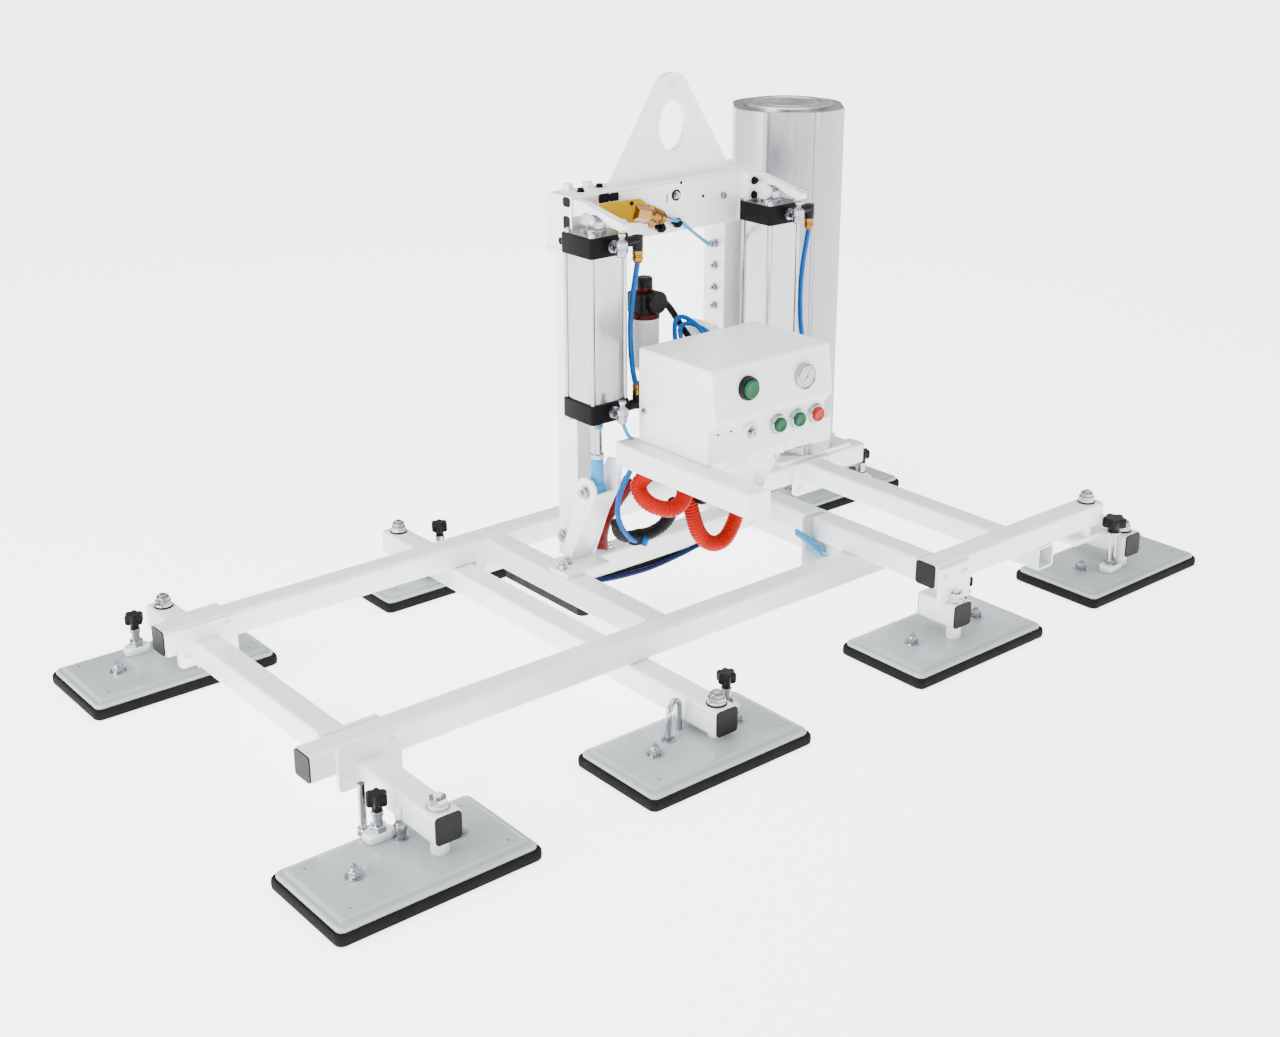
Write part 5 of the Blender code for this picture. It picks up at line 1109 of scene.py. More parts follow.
    def fittings(self, side, x):
        """Flow controls at both heads: zinc body, black elbow, brass nut."""
        body = f"cylinder_{side}"
        zinc, black, brass = bmesh.new(), bmesh.new(), bmesh.new()
        for z, turn in ((0.6485, -1), (0.3895, 1)):
            add_lathe(zinc, [(0, 0), (0.0095, 0), (0.0095, 0.003), (0.0060, 0.004), (0.0060, 0.010), (0.0085, 0.011),
                             (0.0085, 0.017), (0, 0.018)], (x + 0.004, -0.0295, z), FRONT, 24)
            profile = [(0, 0), (0.0062, 0), (0.0080, 0.002), (0.0080, 0.012), (0.0095, 0.014), (0.0095, 0.022),
                       (0.0066, 0.024), (0.0042, 0.027), (0.0042, 0.030), (0.0060, 0.031), (0.0060, 0.0355),
                       (0, 0.0360)]
            add_lathe(zinc, profile, (x + 0.004, -0.0510, z - 0.0125), UP, 28)
            port = (x + 0.0368, -0.0200, z)
            add_lathe(black, [(0, 0), (0.0082, 0), (0.0082, 0.022), (0.0074, 0.024), (0, 0.024)], port, (1, 0, 0), 28)
            add_lathe(black, [(0, 0), (0.0084, 0), (0.0084, 0.020), (0.0074, 0.022), (0, 0.022)],
                      (x + 0.0605, -0.0200, z - 0.007 * turn), (0, 0, turn), 28)
            foot = z + turn * 0.016
            add_lathe(brass, [(0, 0), (0.0086, 0), (0.0086, 0.006), (0.0078, 0.0068), (0.0078, 0.009),
                              (0.0084, 0.0098), (0.0084, 0.015), (0.0058, 0.019), (0, 0.019)],
                      (x + 0.0605, -0.0200, foot), (0, 0, turn), 28)
        dress(to_object("flow", zinc), f"flow_controls_{side}", body, "zinc", 30)
        dress(to_object("elbows", black), f"air_elbows_{side}", body, "black", 30)
        dress(to_object("nuts", brass), f"hose_nuts_{side}", body, "brass", 30)
        stations = ((0.0605, 0.630), (0.0600, 0.614), (0.0560, 0.592), (0.0500, 0.560), (0.0460, 0.518),
                    (0.0475, 0.470), (0.0535, 0.432), (0.0595, 0.416), (0.0605, 0.408))
        points = [(x + out, -0.0200, z) for out, z in stations]
        piece = hose(f"air_line_{side}", points, 0.0042, "blue", body)
        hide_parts(f"air_hose_{side}")


class LIFTER_OT_control_box(bpy.types.Operator):
    """Dress the control box: bezels, lenses, gauge dial, key switch and screws"""

    bl_idname = "lifter.control_box"
    bl_label = "Control Box"

    def execute(self, context):
        self.bezels()
        self.gauge()
        self.key()
        self.hardware()
        return {"FINISHED"}

    def bezels(self):
        """Chromed rings round the row buttons, a black collar on the large one."""
        chrome, black = bmesh.new(), bmesh.new()
        for name in BUTTONS:
            low, high = box_of(name)
            centre = (low + high) / 2
            radius = (high.x - low.x) / 2
            large = name == "button_green_large"
            target = black if large else chrome
            start = high.y + 0.0035
            length = start - low.y - 0.0045
            ring = [(radius + 0.0004, 0), (radius + 0.0042, 0), (radius + 0.0042, length * 0.45),
                    (radius + 0.0032, length * 0.50), (radius + 0.0032, length * 0.90),
                    (radius + 0.0020, length), (radius + 0.0004, length), (radius + 0.0004, 0)]
            add_lathe(target, ring, (centre.x, start, centre.z), FRONT, 48)
        dress(to_object("rings", chrome), "button_bezels", "base", "chrome", 30)
        dress(to_object("collar", black), "button_collar", "base", "black", 30)
        for name in BUTTONS:
            low, high = box_of(name)
            centre = (low + high) / 2
            radius = (high.x - low.x) / 2
            depth = high.y - low.y
            cap = [(0, 0), (radius - 0.0004, 0), (radius - 0.0004, depth - 0.0018),
                   (radius - 0.0012, depth - 0.0006), (radius - 0.0028, depth - 0.0001),
                   (radius * 0.72, depth - 0.0005), (radius * 0.4, depth - 0.0009), (0, depth - 0.0011)]
            bm = bmesh.new()
            add_lathe(bm, cap, (centre.x, high.y, centre.z), FRONT, 48)
            finish = "red" if name == "button_red" else "green"
            piece = dress(to_object("cap", bm), name.replace("button", "lens"), name, finish, 40)
            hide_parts(name)

    def gauge(self):
        """The vacuum gauge: steel ring, white dial with ticks, needle and glass."""
        low, high = box_of("vacuum_gauge")
        centre = (low + high) / 2
        radius = (high.x - low.x) / 2
        face = low.y
        bm = bmesh.new()
        ring = [(0, 0.0), (radius - 0.001, 0.0), (radius, 0.001), (radius, 0.0072), (radius - 0.0014, 0.0085),
                (radius - 0.0026, 0.0080), (radius - 0.0028, 0.0058), (0, 0.0058)]
        add_lathe(bm, ring, (centre.x, face + 0.0092, centre.z), FRONT, 64)
        piece = dress(to_object("case", bm), "gauge_case", "base", "chrome", 30)
        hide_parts("vacuum_gauge")
        dial_y = face + 0.0092 - 0.0061
        bm = bmesh.new()
        add_lathe(bm, [(0, 0), (radius - 0.0030, 0), (radius - 0.0030, 0.0005), (0, 0.0005)],
                  (centre.x, dial_y + 0.0003, centre.z), FRONT, 64)
        dress(to_object("dial", bm), "gauge_dial", "base", "dial")
        bm = bmesh.new()
        for k in range(31):
            angle = math.radians(225 - k * 9)
            major = k % 5 == 0
            outer = radius - 0.0042
            inner = outer - (0.0030 if major else 0.0016)
            half = 0.00022 if major else 0.00012
            self.stroke(bm, centre, dial_y - 0.0003, angle, inner, outer, half)
        self.stroke(bm, centre, dial_y - 0.0006, math.radians(60), -0.004, radius - 0.0070, 0.0005)
        self.stroke(bm, centre, dial_y - 0.0006, math.radians(240), 0.0, 0.0062, 0.0007)
        add_lathe(bm, [(0, 0), (0.0017, 0), (0.0015, 0.0008), (0, 0.0009)],
                  (centre.x, dial_y - 0.0004, centre.z), FRONT, 24)
        dress(to_object("marks", bm), "gauge_marks_and_needle", "base", "ink_and_shade")
        bm = bmesh.new()
        add_lathe(bm, [(0, 0), (radius - 0.0029, 0), (radius - 0.0029, 0.0004), (0, 0.0006)],
                  (centre.x, face + 0.0024, centre.z), FRONT, 48)
        dress(to_object("glass", bm), "gauge_glass", "base", "glass")

    def stroke(self, bm, centre, y, angle, inner, outer, half):
        """One raised line on the dial, from an inner to an outer radius."""
        along = Vector((math.cos(angle), 0, math.sin(angle)))
        across = Vector((-math.sin(angle), 0, math.cos(angle))) * half
        middle = Vector((centre.x, y, centre.z))
        flat = [middle + along * inner - across, middle + along * outer - across,
                middle + along * outer + across, middle + along * inner + across]
        lift = Vector((0, -0.00025, 0))
        low = [bm.verts.new(p) for p in flat]
        high = [bm.verts.new(p + lift) for p in flat]
        close_rings(bm, (low, high))

    def key(self):
        """The key switch: a stepped chrome barrel, with a dark sheet of painted shade in its slot."""
        low, high = box_of("key_switch")
        centre = (low + high) / 2
        radius = (high.x - low.x) / 2
        bm = bmesh.new()
        barrel = [(0, 0), (radius, 0), (radius, 0.0068), (radius - 0.001, 0.0080), (radius * 0.62, 0.0080),
                  (radius * 0.62, 0.0108), (radius * 0.5, 0.0120), (0, 0.0120)]
        add_lathe(bm, barrel, (centre.x, high.y, centre.z), FRONT, 48)
        piece = dress(to_object("lock", bm), "key_barrel", "key_switch", "chrome", 30)
        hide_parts("key_switch")
        bm = bmesh.new()
        # The keyway is a thin near-black sheet: painted shade inside the slot.
        add_prism(bm, rounded(0.0016, 0.0072, 0.0006, 2), 0.0006, (centre.x, high.y - 0.0117, centre.z), FRONT)
        dress(to_object("slot", bm), "key_slot", "key_switch", "ink_and_shade")

    def hardware(self):
        """Side screws, dark discs of painted shade in the panel's two notches, and the brackets and nuts under the
        box.
        """
        low, high = box_of("control_box")
        places = [((low.x, -0.060, low.z + 0.050), (-1, 0, 0)), ((high.x, -0.060, low.z + 0.050), (1, 0, 0))]
        bolts("box_side_screws", places, "zinc", "base", washer_radius=0.0052, washer_height=0.0008,
              head_radius=0.0036, head_height=0.0020, tip_radius=0.0012, tip_height=0.0004)
        # Dark discs in the panel's two notches: painted shade.
        bm = bmesh.new()
        for x in (low.x + 0.020, low.x + 0.046):
            add_lathe(bm, [(0, 0), (0.0018, 0), (0.0018, 0.0005), (0, 0.0005)],
                      (x, low.y + 0.0164, low.z + 0.046), FRONT, 24)
        dress(to_object("notches", bm), "panel_notches", "base", "dark")
        bm = bmesh.new()
        add_prism(bm, rounded(0.056, 0.0028, 0.001, 2), 0.030, (low.x + 0.118, -0.196, low.z - 0.0302), UP)
        add_prism(bm, rounded(0.016, 0.030, 0.002, 3), 0.030, (low.x + 0.098, -0.180, low.z - 0.0302), UP, 0.001)
        add_prism(bm, rounded(0.020, 0.024, 0.002, 3), 0.018, (low.x + 0.160, -0.184, low.z - 0.0182), UP, 0.001)
        add_prism(bm, rounded(0.064, 0.0016, 0.0006, 2), 0.046, (0.034, -0.150, low.z - 0.0840), UP)
        dress(to_object("brackets", bm), "box_front_brackets", "base", "paint")
        places = [((low.x + 0.160, -0.184, low.z - 0.0182), -UP), ((low.x + 0.186, -0.180, low.z - 0.0003), -UP)]
        bolts("box_floor_nuts", places, "zinc", "base", washer_radius=0.0095, washer_height=0.0014,
              head_radius=0.0078, head_height=0.0070, tip_radius=0.0040, tip_height=0.0050)


class LIFTER_OT_tank(bpy.types.Operator):
    """Make the tank: extruded barrel with flats and corner ribs, turned lid and foot plate"""

    bl_idname = "lifter.tank"
    bl_label = "Vacuum Tank"

    def execute(self, context):
        low, high = box_of("vacuum_tank")
        centre = Vector((0.526, 0.262, 0.0))
        bm = bmesh.new()
        outline = []
        steps = 240
        flat, corner, groove = 0.0985, 0.1080, 0.0035
        turn = math.degrees(math.acos(flat / corner))
        for k in range(steps):
            angle = 360 * k / steps
            gap = min(abs((angle - (50 + 90 * quarter) + 180) % 360 - 180) for quarter in range(4))
            radius = flat / math.cos(math.radians(gap)) if gap < turn else corner
            if turn - 1.5 < gap < turn + 2.0:
                radius -= groove
            outline.append((radius * math.cos(math.radians(angle)), radius * math.sin(math.radians(angle))))
        add_prism(bm, outline, high.z - 0.006 - 0.1243, (centre.x, centre.y, 0.1243), UP)
        piece = dress(to_object("shell", bm), "tank_barrel", "base", "tank", 25)
        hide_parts("vacuum_tank")
        bm = bmesh.new()
        top = high.z - 0.006
        lid = [(0, 0), (0.080, 0), (0.080, 0.003), (0.078, 0.0055), (0.062, 0.0058), (0.060, 0.0040),
               (0.054, 0.0038), (0.052, 0.0052), (0.030, 0.0054), (0.026, 0.0040), (0, 0.0040)]
        add_lathe(bm, lid, (centre.x, centre.y, top), UP, 96)
        dress(to_object("lid", bm), "tank_lid", "base", "lid", 25)
        bm = bmesh.new()
        add_prism(bm, rounded(0.190, high.y - low.y - 0.010, 0.006, 4), 0.0080,
                  (centre.x, (low.y + high.y) / 2 - 0.002, 0.1163), UP, 0.0008)
        dress(to_object("foot", bm), "tank_foot", "base", "paint")
        return {"FINISHED"}


class LIFTER_OT_air_unit(bpy.types.Operator):
    """Make the filter with its regulator and gauge, and the silencer"""

    bl_idname = "lifter.air_unit"
    bl_label = "Filter and Silencer"

    def execute(self, context):
        x, y = -0.008, 0.028
        z = box_of("filter_regulator")[0].z
        bm = bmesh.new()
        add_lathe(bm, [(0, 0), (0.010, 0), (0.015, 0.004), (0.0225, 0.012), (0.0235, 0.020), (0.0235, 0.090),
                       (0, 0.090)], (x, y, z), UP, 48)
        piece = dress(to_object("bowl", bm), "filter_bowl", "base", "bowl")
        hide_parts("filter_regulator")
        bm = bmesh.new()
        add_lathe(bm, [(0, 0), (0.0180, 0), (0.0180, 0.060), (0.0165, 0.064), (0, 0.064)], (x, y, z + 0.014), UP, 40)
        dress(to_object("element", bm), "filter_element", "base", "plastic")
        bm = bmesh.new()
        add_lathe(bm, [(0, 0), (0.0238, 0), (0.0242, 0.002), (0.0242, 0.008), (0.0225, 0.010), (0, 0.010)],
                  (x, y, z + 0.089), UP, 48)
        add_lathe(bm, [(0, 0), (0.0125, 0), (0.0130, 0.002), (0.0130, 0.011), (0, 0.011)],
                  (x, y, z + 0.128), UP, 40)
        dress(to_object("reds", bm), "filter_knob_and_collar", "base", "filter_red")
        bm = bmesh.new()
        add_prism(bm, rounded(0.042, 0.042, 0.006, 4), 0.034, (x, y, z + 0.096), UP, 0.002)
        add_lathe(bm, [(0, 0), (0.0178, 0), (0.0180, 0.002), (0.0180, 0.009), (0.0165, 0.0105), (0, 0.0105)],
                  (x + 0.004, y - 0.0205, z + 0.117), FRONT, 40)
        add_lathe(bm, [(0, 0), (0.0122, 0), (0.0126, 0.002), (0.0126, 0.012), (0.0110, 0.0148), (0, 0.0150)],
                  (x, y, z + 0.1390), UP, 40)
        low_back = box_of("control_box")[1].y
        add_prism(bm, rounded(0.024, 0.024, 0.003, 3), y - low_back - 0.012, (x, low_back + 0.0004, z + 0.034),
                  (0, 1, 0), 0.001)
        dress(to_object("body", bm), "filter_body", "base", "black", 30)
        self.silencer()
        self.lines(x, y, z)
        return {"FINISHED"}

    def silencer(self):
        """The white silencer with its grooves."""
        low, high = box_of("silencer")
        centre = (low + high) / 2
        bm = bmesh.new()
        length = high.y - low.y
        profile = [(0, 0), (0.0088, 0), (0.0088, 0.011), (0.0125, 0.012), (0.0156, 0.015)]
        for k in range(5):
            start = 0.019 + k * 0.0085
            profile += [(0.0158, start), (0.0158, start + 0.0050), (0.0148, start + 0.0058),
                        (0.0148, start + 0.0078)]
        profile += [(0.0156, length - 0.003), (0.0120, length), (0, length)]
        profile = [p for p in profile if p[1] <= length]
        add_lathe(bm, profile, (centre.x, low.y, centre.z), (0, 1, 0), 40)
        piece = dress(to_object("silencer", bm), "white_silencer", "base", "plastic", 30)
        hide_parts("silencer")

    def lines(self, x, y, z):
        """Black and blue lines between the filter and the box's back."""
        back = box_of("control_box")[1].y
        hose("filter_line", [(x + 0.021, y, z + 0.110), (x + 0.038, y, z + 0.108), (x + 0.052, y - 0.004, z + 0.092),
                             (x + 0.058, y - 0.020, z + 0.070), (x + 0.058, y - 0.045, z + 0.052),
                             (x + 0.058, back + 0.0006, z + 0.050)], 0.0055, "black", "base")
        hose("control_line_one", [(x + 0.030, back + 0.0006, z + 0.056), (x + 0.030, back + 0.018, z + 0.058),
                                  (x + 0.040, back + 0.034, z + 0.072), (x + 0.060, back + 0.036, z + 0.076),
                                  (x + 0.078, back + 0.020, z + 0.066), (x + 0.078, back + 0.0006, z + 0.058)],
             0.0038, "blue", "base")
        hose("control_line_two", [(x + 0.020, back + 0.0006, z + 0.040), (x + 0.020, back + 0.020, z + 0.048),
                                  (x + 0.036, back + 0.042, z + 0.080), (x + 0.054, back + 0.044, z + 0.086),
                                  (x + 0.070, back + 0.028, z + 0.072), (x + 0.070, back + 0.0006, z + 0.052)],
             0.0038, "blue", "base")


class LIFTER_OT_ball_valve(bpy.types.Operator):
    """Make the yellow lever, the brass union and the pale blue line on the crossbar"""

    bl_idname = "lifter.ball_valve"
    bl_label = "Ball Valve"

    def execute(self, context):
        low = box_of("ball_valve")[0]
        y = 0.0397
        z = 0.668
        x = 0.007
        bm = bmesh.new()
        profile = [(0, 0), (0.0150, 0), (0.0158, 0.002), (0.0158, 0.009), (0.0138, 0.010), (0.0138, 0.013),
                   (0.0156, 0.014), (0.0150, 0.022), (0.0128, 0.023), (0.0128, 0.026), (0.0146, 0.027),
                   (0.0138, 0.034), (0.0114, 0.035), (0.0114, 0.038), (0.0126, 0.039), (0.0118, 0.046),
                   (0.0080, 0.048), (0.0080, 0.052), (0, 0.052)]
        add_lathe(bm, profile, (x - 0.016, y, z + 0.0055), UNION_TILT, 40)
        add_lathe(bm, [(0, 0), (0.0090, 0), (0.0098, 0.002), (0.0098, 0.014), (0, 0.014)],
                  (low.x + 0.0003, y, z + 0.004), (1, 0, 0), 32)
        add_prism(bm, rounded(0.022, 0.006, 0.001, 2), 0.0140, (x, y + 0.0140, z), FRONT)
        add_lathe(bm, [(0, 0), (0.0052, 0), (0.0052, 0.006), (0.0036, 0.007), (0.0036, 0.0160), (0, 0.0160)],
                  (x, y, z), FRONT, 28)
        piece = dress(to_object("union", bm), "brass_union", "portal", "brass", 28)
        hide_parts("ball_valve")
        bm = bmesh.new()
        add_lathe(bm, [(0, 0), (0.0062, 0), (0.0062, 0.006), (0.0046, 0.007), (0.0046, 0.011), (0.0034, 0.012),
                       (0.0034, 0.016), (0, 0.016)], (x + 0.0325, y, z - 0.0095), UNION_TILT, 28)
        add_lathe(bm, [(0, 0), (0.0065, 0), (0.0065, 0.008), (0.0050, 0.009), (0.0050, 0.014), (0, 0.014)],
                  (0.1892, 0.0835, 0.5887), (-1, 0, 0), 28)
        dress(to_object("tips", bm), "pilot_fittings", "portal", "zinc", 30)
        self.lever(x, z)
        hose("pilot_line", [(x + 0.0465, y, z - 0.0138), (x + 0.056, y, z - 0.0165), (0.082, 0.044, 0.6450),
                            (0.103, 0.053, 0.6320), (0.128, 0.064, 0.6170), (0.155, 0.075, 0.6010),
                            (0.1775, 0.0835, 0.5887)], 0.0030, "pale_blue", "portal")
        return {"FINISHED"}

    def lever(self, x, z):
        """The dipped yellow lever, wide at the hub and tapering to a round grip."""
        high = box_of("ball_valve_lever")[1]
        stations = ((-0.1110, 0.0030, 0.0290), (-0.1060, 0.0075, 0.0278), (-0.0890, 0.0130, 0.0224),
                    (-0.0720, 0.0160, 0.0190), (-0.0580, 0.0179, 0.0164), (-0.0340, 0.0188, 0.0147),
                    (-0.0250, 0.0168, 0.0115), (-0.0190, 0.0120, 0.0080), (-0.0160, 0.0060, 0.0060))
        bm = bmesh.new()
        rings = []
        for at, half, rise in stations:
            thick = min(half, 0.0078)
            ring = []
            for k in range(24):
                angle = math.tau * k / 24
                ring.append(bm.verts.new((x + at, high.y - 0.0062 + thick * math.cos(angle),
                                          z + rise + half * math.sin(angle))))
            rings.append(ring)
        close_rings(bm, rings)
        piece = dress(to_object("lever", bm), "yellow_lever", "valve_lever", "yellow", 40)
        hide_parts("ball_valve_lever")
        bm = bmesh.new()
        add_prism(bm, hexagon(0.0125), 0.027, (x - 0.0500, high.y - 0.0130, z + 0.0155), UNION_TILT, 0.0010)
        add_lathe(bm, [(0, 0), (0.0098, 0), (0.0104, 0.002), (0.0104, 0.008), (0.0086, 0.010), (0, 0.010)],
                  (x - 0.0242, high.y - 0.0130, z + 0.0077), UNION_TILT, 32)
        add_prism(bm, rounded(0.010, 0.036, 0.003, 3), 0.0030, (x - 0.008, high.y - 0.0012, z + 0.0010), FRONT, 0.0005)
        add_lathe(bm, [(0, 0), (0.0060, 0), (0.0060, 0.004), (0.0048, 0.005), (0, 0.005)],
                  (x, high.y - 0.0012, z), FRONT, 24)
        dress(to_object("hub", bm), "lever_hub", "valve_lever", "brass", 28)
        places = [((x - 0.056, high.y - 0.0139, z + 0.030), FRONT)]
        bolts("lever_screws", places, "head", "valve_lever", washer_radius=0.0034, washer_height=0.0006,
              head_radius=0.0028, head_height=0.0014, tip_radius=0.0012, tip_height=0.0003)


class LIFTER_OT_hoses(bpy.types.Operator):
    """Make the ribbed red hoses and the dark and blue lines along the frame"""

    bl_idname = "lifter.hoses"
    bl_label = "Hoses"

    def execute(self, context):
        sizes = context.scene.lifter_sizes
        pitch, depth = sizes.rib_pitch, sizes.rib_depth
        points = (
            (-0.050, -0.066, 0.3400), (-0.050, -0.066, 0.3300), (-0.050, -0.066, 0.3200), (-0.060, -0.056, 0.290),
            (-0.077, -0.040, 0.262), (-0.074, -0.060, 0.238), (-0.044, -0.078, 0.225), (-0.010, -0.070, 0.231),
            (0.010, -0.046, 0.250), (-0.004, -0.024, 0.276), (0.016, -0.010, 0.284), (0.034, -0.018, 0.250),
            (0.038, -0.030, 0.205), (0.050, -0.040, 0.150), (0.076, -0.044, 0.124), (0.108, -0.042, 0.124),
            (0.134, -0.038, 0.152), (0.138, -0.042, 0.196), (0.122, -0.056, 0.256), (0.114, -0.066, 0.3200),
            (0.114, -0.066, 0.3300), (0.114, -0.066, 0.3400),
        )
        piece = hose("ribbed_vacuum_hose", points, 0.0128, "red_hose", "base", pitch, depth)
        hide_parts("vacuum_hose")
        self.under_box(pitch)
        self.along_frame()
        self.fittings()
        return {"FINISHED"}

    def under_box(self, pitch):
        """The black elbow hose, the blue lines and the dark red hose behind the box."""
        hose("black_elbow_hose", [(-0.014, -0.052, 0.2200), (-0.004, -0.036, 0.205), (0.002, -0.024, 0.186),
                                  (-0.008, -0.016, 0.168), (-0.032, -0.012, 0.160), (-0.056, -0.010, 0.162)],
             0.0105, "black", "base", pitch, 0.0006)
        hose("black_branch_hose", [(-0.056, -0.010, 0.162), (-0.078, -0.010, 0.166), (-0.096, -0.014, 0.180),
                                   (-0.104, -0.018, 0.200)], 0.0095, "black", "base", pitch, 0.0006)
        hose("blue_drop_line", [(-0.080, -0.040, 0.318), (-0.086, -0.034, 0.292), (-0.106, -0.028, 0.248),
                                (-0.108, -0.028, 0.210), (-0.088, -0.024, 0.176), (-0.066, -0.018, 0.158),
                                (-0.050, -0.012, 0.152)], 0.0042, "blue", "base")
        hose("dark_red_hose", [(-0.036, 0.030, 0.244), (-0.046, 0.032, 0.228), (-0.059, 0.034, 0.2125),
                               (-0.072, 0.037, 0.196), (-0.082, 0.040, 0.177), (-0.0875, 0.0415, 0.156),
                               (-0.088, 0.0415, 0.134)], 0.0112, "maroon", "base")
        hose("cross_line", [(0.006, -0.012, 0.262), (0.022, -0.048, 0.232), (0.048, -0.052, 0.222),
                            (0.074, -0.030, 0.226), (0.094, -0.012, 0.240)], 0.0066, "black", "base")
        hose("cylinder_line", [(-0.100, -0.026, 0.375), (-0.096, -0.034, 0.352), (-0.084, -0.038, 0.334),
                               (-0.080, -0.040, 0.318)], 0.0030, "pale_blue", "base")

    def along_frame(self):
        """Lines that sag under the tie beam, light lines at the front rail and side lines at the box."""
        sag = ((-0.132, 0.050, 0.0800), (-0.0947, 0.050, 0.0730), (-0.0421, 0.050, 0.0665), (0.0228, 0.050, 0.0640),
               (0.0895, 0.050, 0.0700), (0.122, 0.050, 0.0750), (0.150, 0.050, 0.0790))
        hose("sagging_blue_line", sag, 0.0046, "navy", "base")
        hose("sagging_black_line", [(x, y + 0.010, z + 0.003) for x, y, z in sag], 0.0052, "black", "base")
        hose("light_line", [(0.1823, -0.135, 0.1430), (0.196, -0.137, 0.1290), (0.2188, -0.136, 0.1065),
                            (0.250, -0.136, 0.0800), (0.2834, -0.135, 0.0523), (0.300, -0.132, 0.0380)],
             0.0042, "pale_blue", "base")
        hose("light_line_two", [(0.190, -0.126, 0.1420), (0.214, -0.128, 0.1240), (0.246, -0.130, 0.0980),
                                (0.272, -0.128, 0.0780)], 0.0036, "pale_blue", "base")
        hose("side_line", [(0.160, -0.120, 0.372), (0.180, -0.126, 0.374), (0.196, -0.130, 0.358),
                           (0.196, -0.130, 0.334), (0.180, -0.128, 0.322), (0.168, -0.124, 0.322)],
             0.0050, "blue", "base")
        hose("side_line_two", [(0.160, -0.108, 0.364), (0.178, -0.112, 0.366), (0.189, -0.116, 0.352),
                               (0.188, -0.116, 0.332), (0.172, -0.112, 0.320)], 0.0050, "blue", "base")

    def fittings(self):
        """Couplings at the hoses' ends, and the valve plate, body and cap by the front rail."""
        bm = bmesh.new()
        add_lathe(bm, [(0, 0), (0.0120, 0), (0.0128, 0.002), (0.0128, 0.014), (0.0100, 0.016), (0, 0.016)],
                  (-0.058, -0.010, 0.150), UP, 28)
        add_lathe(bm, [(0, 0), (0.0110, 0), (0.0116, 0.002), (0.0116, 0.020), (0.0096, 0.022), (0, 0.022)],
                  (0.178, -0.124, 0.312), (0.6, 0, -0.8), 28)
        add_prism(bm, rounded(0.030, 0.018, 0.003, 3), 0.020, (0.052, -0.052, 0.206), UP, 0.001)
        add_lathe(bm, [(0, 0), (0.0095, 0), (0.0100, 0.002), (0.0100, 0.018), (0.0085, 0.020), (0, 0.020)],
                  (0.064, -0.046, 0.222), (0.85, 0.5, 0.0), 24)
        dress(to_object("couplings", bm), "hose_couplings", "base", "black", 30)
        bm = bmesh.new()
        add_lathe(bm, [(0, 0), (0.0055, 0), (0.0060, 0.001), (0.0060, 0.012), (0.0045, 0.014), (0, 0.014)],
                  (-0.050, -0.020, 0.148), (0.2, -0.3, 0.93), 20)
        dress(to_object("push_fitting", bm), "blue_push_fitting", "base", "blue", 30)
        bm = bmesh.new()
        add_prism(bm, rounded(0.048, 0.114, 0.004, 3), 0.008, (0.236, -0.1170, 0.1010), FRONT, 0.0010)
        dress(to_object("block", bm), "grey_valve_plate", "base", "plate", 30)
        bm = bmesh.new()
        add_prism(bm, rounded(0.036, 0.046, 0.004, 3), 0.020, (0.281, -0.1240, 0.1010), (0, 1, 0), 0.0012)
        dress(to_object("valve", bm), "black_valve_body", "base", "black", 30)
        bm = bmesh.new()
        add_lathe(bm, [(0, 0), (0.0190, 0), (0.0200, 0.0015), (0.0200, 0.0085), (0.0186, 0.010), (0, 0.010)],
                  (0.262, -0.096, 0.1250), UP, 40)
        dress(to_object("disc", bm), "white_cap", "base", "plastic", 30)


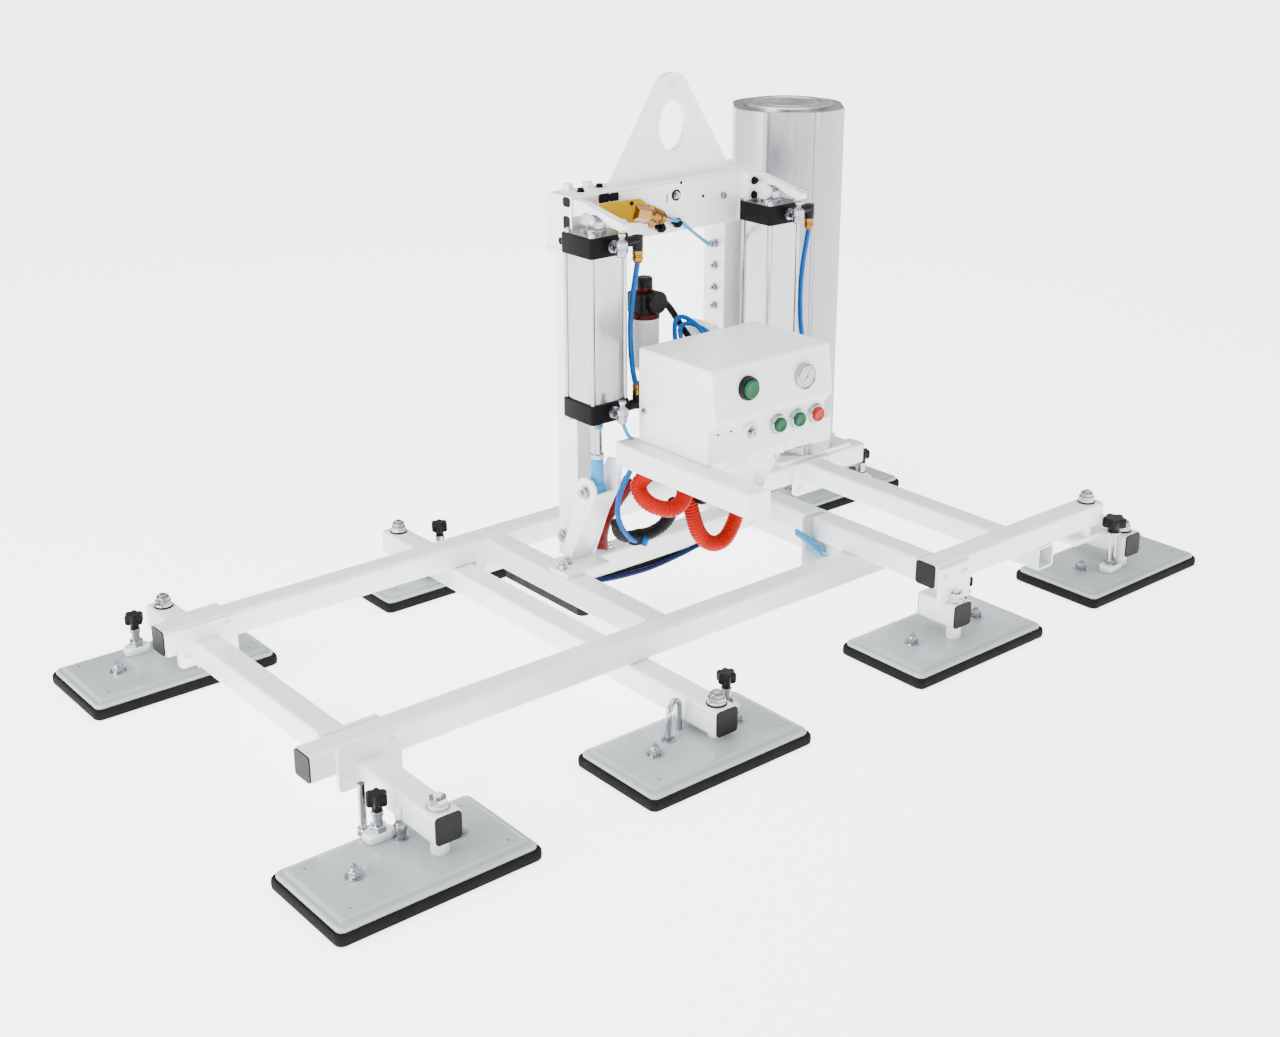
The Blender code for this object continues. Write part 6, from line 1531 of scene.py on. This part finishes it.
class LIFTER_OT_studio(bpy.types.Operator):
    """Set the pale floor, the soft lights and the camera at the photograph's view"""

    bl_idname = "lifter.studio"
    bl_label = "Studio"

    def execute(self, context):
        settings = context.scene.lifter_studio
        self.floor(settings)
        self.lights(settings)
        self.camera(settings)
        return {"FINISHED"}

    def floor(self, settings):
        """A plain flat floor that reaches far out on all sides."""
        colour = tuple(settings.backdrop)
        material = surface_material("studio_floor", colour, 0.9, tint=0.01, tint_scale=0.5, grain=60,
                                    bump=0.01)
        shader = material.node_tree.nodes["Principled BSDF"]
        shader.inputs["Emission Color"].default_value = (1.0, 1.0, 1.0, 1.0)
        shader.inputs["Emission Strength"].default_value = settings.floor_glow
        shader.inputs["Specular IOR Level"].default_value = 0.1
        bm = bmesh.new()
        reach = 40.0
        corners = [bm.verts.new((x, y, -0.0004)) for x, y in
                   ((-reach, -reach), (reach, -reach), (reach, reach), (-reach, reach))]
        bm.faces.new(corners)
        floor = to_object("studio_floor", bm)
        floor.data.materials.append(material)

    def lights(self, settings):
        """Bright walls with darker gaps between them, and three wide soft lights."""
        world = bpy.data.worlds.new("studio_world")
        world.use_nodes = True
        tree = world.node_tree
        background = tree.nodes["Background"]
        background.inputs["Strength"].default_value = settings.world_strength
        place = tree.nodes.new("ShaderNodeTexCoord")
        axes = tree.nodes.new("ShaderNodeSeparateXYZ")
        tree.links.new(place.outputs["Generated"], axes.inputs["Vector"])
        heading = math_node(tree, "ARCTAN2", axes.outputs["Y"], axes.outputs["X"])
        turn = math_node(tree, "MULTIPLY", heading, 1 / math.tau)
        turn = math_node(tree, "ADD", turn, 0.5)
        walls = self.bands(tree, turn, (
            (0.00, 0.95), (0.06, 1.0), (0.09, 1.0), (0.105, 0.30), (0.135, 0.30), (0.15, 1.0), (0.22, 1.0),
            (0.245, 0.42), (0.275, 0.42), (0.30, 0.95), (0.36, 0.95), (0.38, 0.30), (0.42, 0.30),
            (0.44, 0.85), (0.60, 0.80), (0.64, 0.35), (0.72, 0.35), (0.76, 0.9), (1.00, 0.95),
        ))
        rise = self.bands(tree, math_node(tree, "MULTIPLY", math_node(tree, "ADD", axes.outputs["Z"], 1.0), 0.5), (
            (0.0, 0.75), (0.47, 0.75), (0.50, 0.50), (0.56, 0.80), (0.75, 1.0), (1.0, 1.0)))
        ceiling = math_node(tree, "MAXIMUM", walls, math_node(tree, "GREATER_THAN", axes.outputs["Z"], 0.72))
        shade = math_node(tree, "MULTIPLY", ceiling, rise)
        tree.links.new(shade, background.inputs["Color"])
        bpy.context.scene.world = world
        spots = (
            ("overhead_light", (0.0, 0.2, 2.8), (0, 0, 0), 2.6, settings.key_power),
            ("left_light", (-3.0, 0.1, 1.3), (0, 0, 0.3), 1.8, settings.side_power),
            ("front_light", (0.6, -3.2, 1.4), (0.2, 0, 0.3), 1.4, settings.fill_power),
        )
        for name, place, target, size, power in spots:
            light = bpy.data.lights.new(name, "AREA")
            light.shape = "SQUARE"
            light.size = size
            light.energy = power
            lamp = bpy.data.objects.new(name, light)
            lamp.location = place
            lamp.rotation_euler = (Vector(target) - Vector(place)).to_track_quat("-Z", "Y").to_euler()
            bpy.context.scene.collection.objects.link(lamp)

    def bands(self, tree, factor, stops):
        """A grey ramp with a stop at each place."""
        ramp = tree.nodes.new("ShaderNodeValToRGB")
        elements = ramp.color_ramp.elements
        while len(elements) < len(stops):
            elements.new(0.5)
        for element, (place, value) in zip(elements, stops):
            element.position = place
            element.color = (value, value, value, 1.0)
        tree.links.new(factor, ramp.inputs["Fac"])
        return ramp.outputs["Color"]

    def camera(self, settings):
        """The photograph's view, from the front left."""
        data = bpy.data.cameras.new("camera")
        data.lens = settings.focal_length
        data.sensor_width = 36.0
        data.shift_y = -0.0613
        data.clip_end = 60.0
        camera = bpy.data.objects.new("camera", data)
        camera.location = (-1.707, -2.0, settings.eye_height)
        camera.rotation_euler = (math.radians(70.7), 0.0, math.radians(-39.8))
        bpy.context.scene.collection.objects.link(camera)
        bpy.context.scene.camera = camera


OPERATORS = (
    LIFTER_OT_frame_paint, LIFTER_OT_pads, LIFTER_OT_tube_plugs, LIFTER_OT_fasteners,
    LIFTER_OT_weld_beads, LIFTER_OT_portal_details, LIFTER_OT_cylinders, LIFTER_OT_control_box,
    LIFTER_OT_tank, LIFTER_OT_air_unit, LIFTER_OT_ball_valve, LIFTER_OT_hoses, LIFTER_OT_studio,
)


class LIFTER_PT_sidebar(bpy.types.Panel):
    """Lists the lifter's pieces and settings in the sidebar"""

    bl_label = "Foam-Pad Vacuum Lifter"
    bl_idname = "LIFTER_PT_sidebar"
    bl_space_type = "VIEW_3D"
    bl_region_type = "UI"
    bl_category = "Lifter"

    def draw(self, context):
        layout = self.layout
        for group in (context.scene.lifter_colours, context.scene.lifter_sizes, context.scene.lifter_studio):
            column = layout.column()
            for key in group.__annotations__:
                column.prop(group, key)
        for operator in OPERATORS:
            layout.operator(operator.bl_idname)


CLASSES = (LifterColours, LifterSizes, StudioSettings, *OPERATORS, LIFTER_PT_sidebar)


def register():
    """Register the classes and hang the settings on the scene."""
    for item in CLASSES:
        bpy.utils.register_class(item)
    bpy.types.Scene.lifter_colours = bpy.props.PointerProperty(type=LifterColours)
    bpy.types.Scene.lifter_sizes = bpy.props.PointerProperty(type=LifterSizes)
    bpy.types.Scene.lifter_studio = bpy.props.PointerProperty(type=StudioSettings)


def unregister():
    """Take the settings and classes away again."""
    del bpy.types.Scene.lifter_studio
    del bpy.types.Scene.lifter_sizes
    del bpy.types.Scene.lifter_colours
    for item in reversed(CLASSES):
        bpy.utils.unregister_class(item)


def main():
    """Build every piece, then the stage."""
    register()
    bpy.ops.lifter.frame_paint()
    bpy.ops.lifter.pads()
    bpy.ops.lifter.tube_plugs()
    bpy.ops.lifter.fasteners()
    bpy.ops.lifter.weld_beads()
    bpy.ops.lifter.portal_details()
    bpy.ops.lifter.cylinders()
    bpy.ops.lifter.control_box()
    bpy.ops.lifter.tank()
    bpy.ops.lifter.air_unit()
    bpy.ops.lifter.ball_valve()
    bpy.ops.lifter.hoses()
    bpy.ops.lifter.studio()


if __name__ == "__main__":
    main()
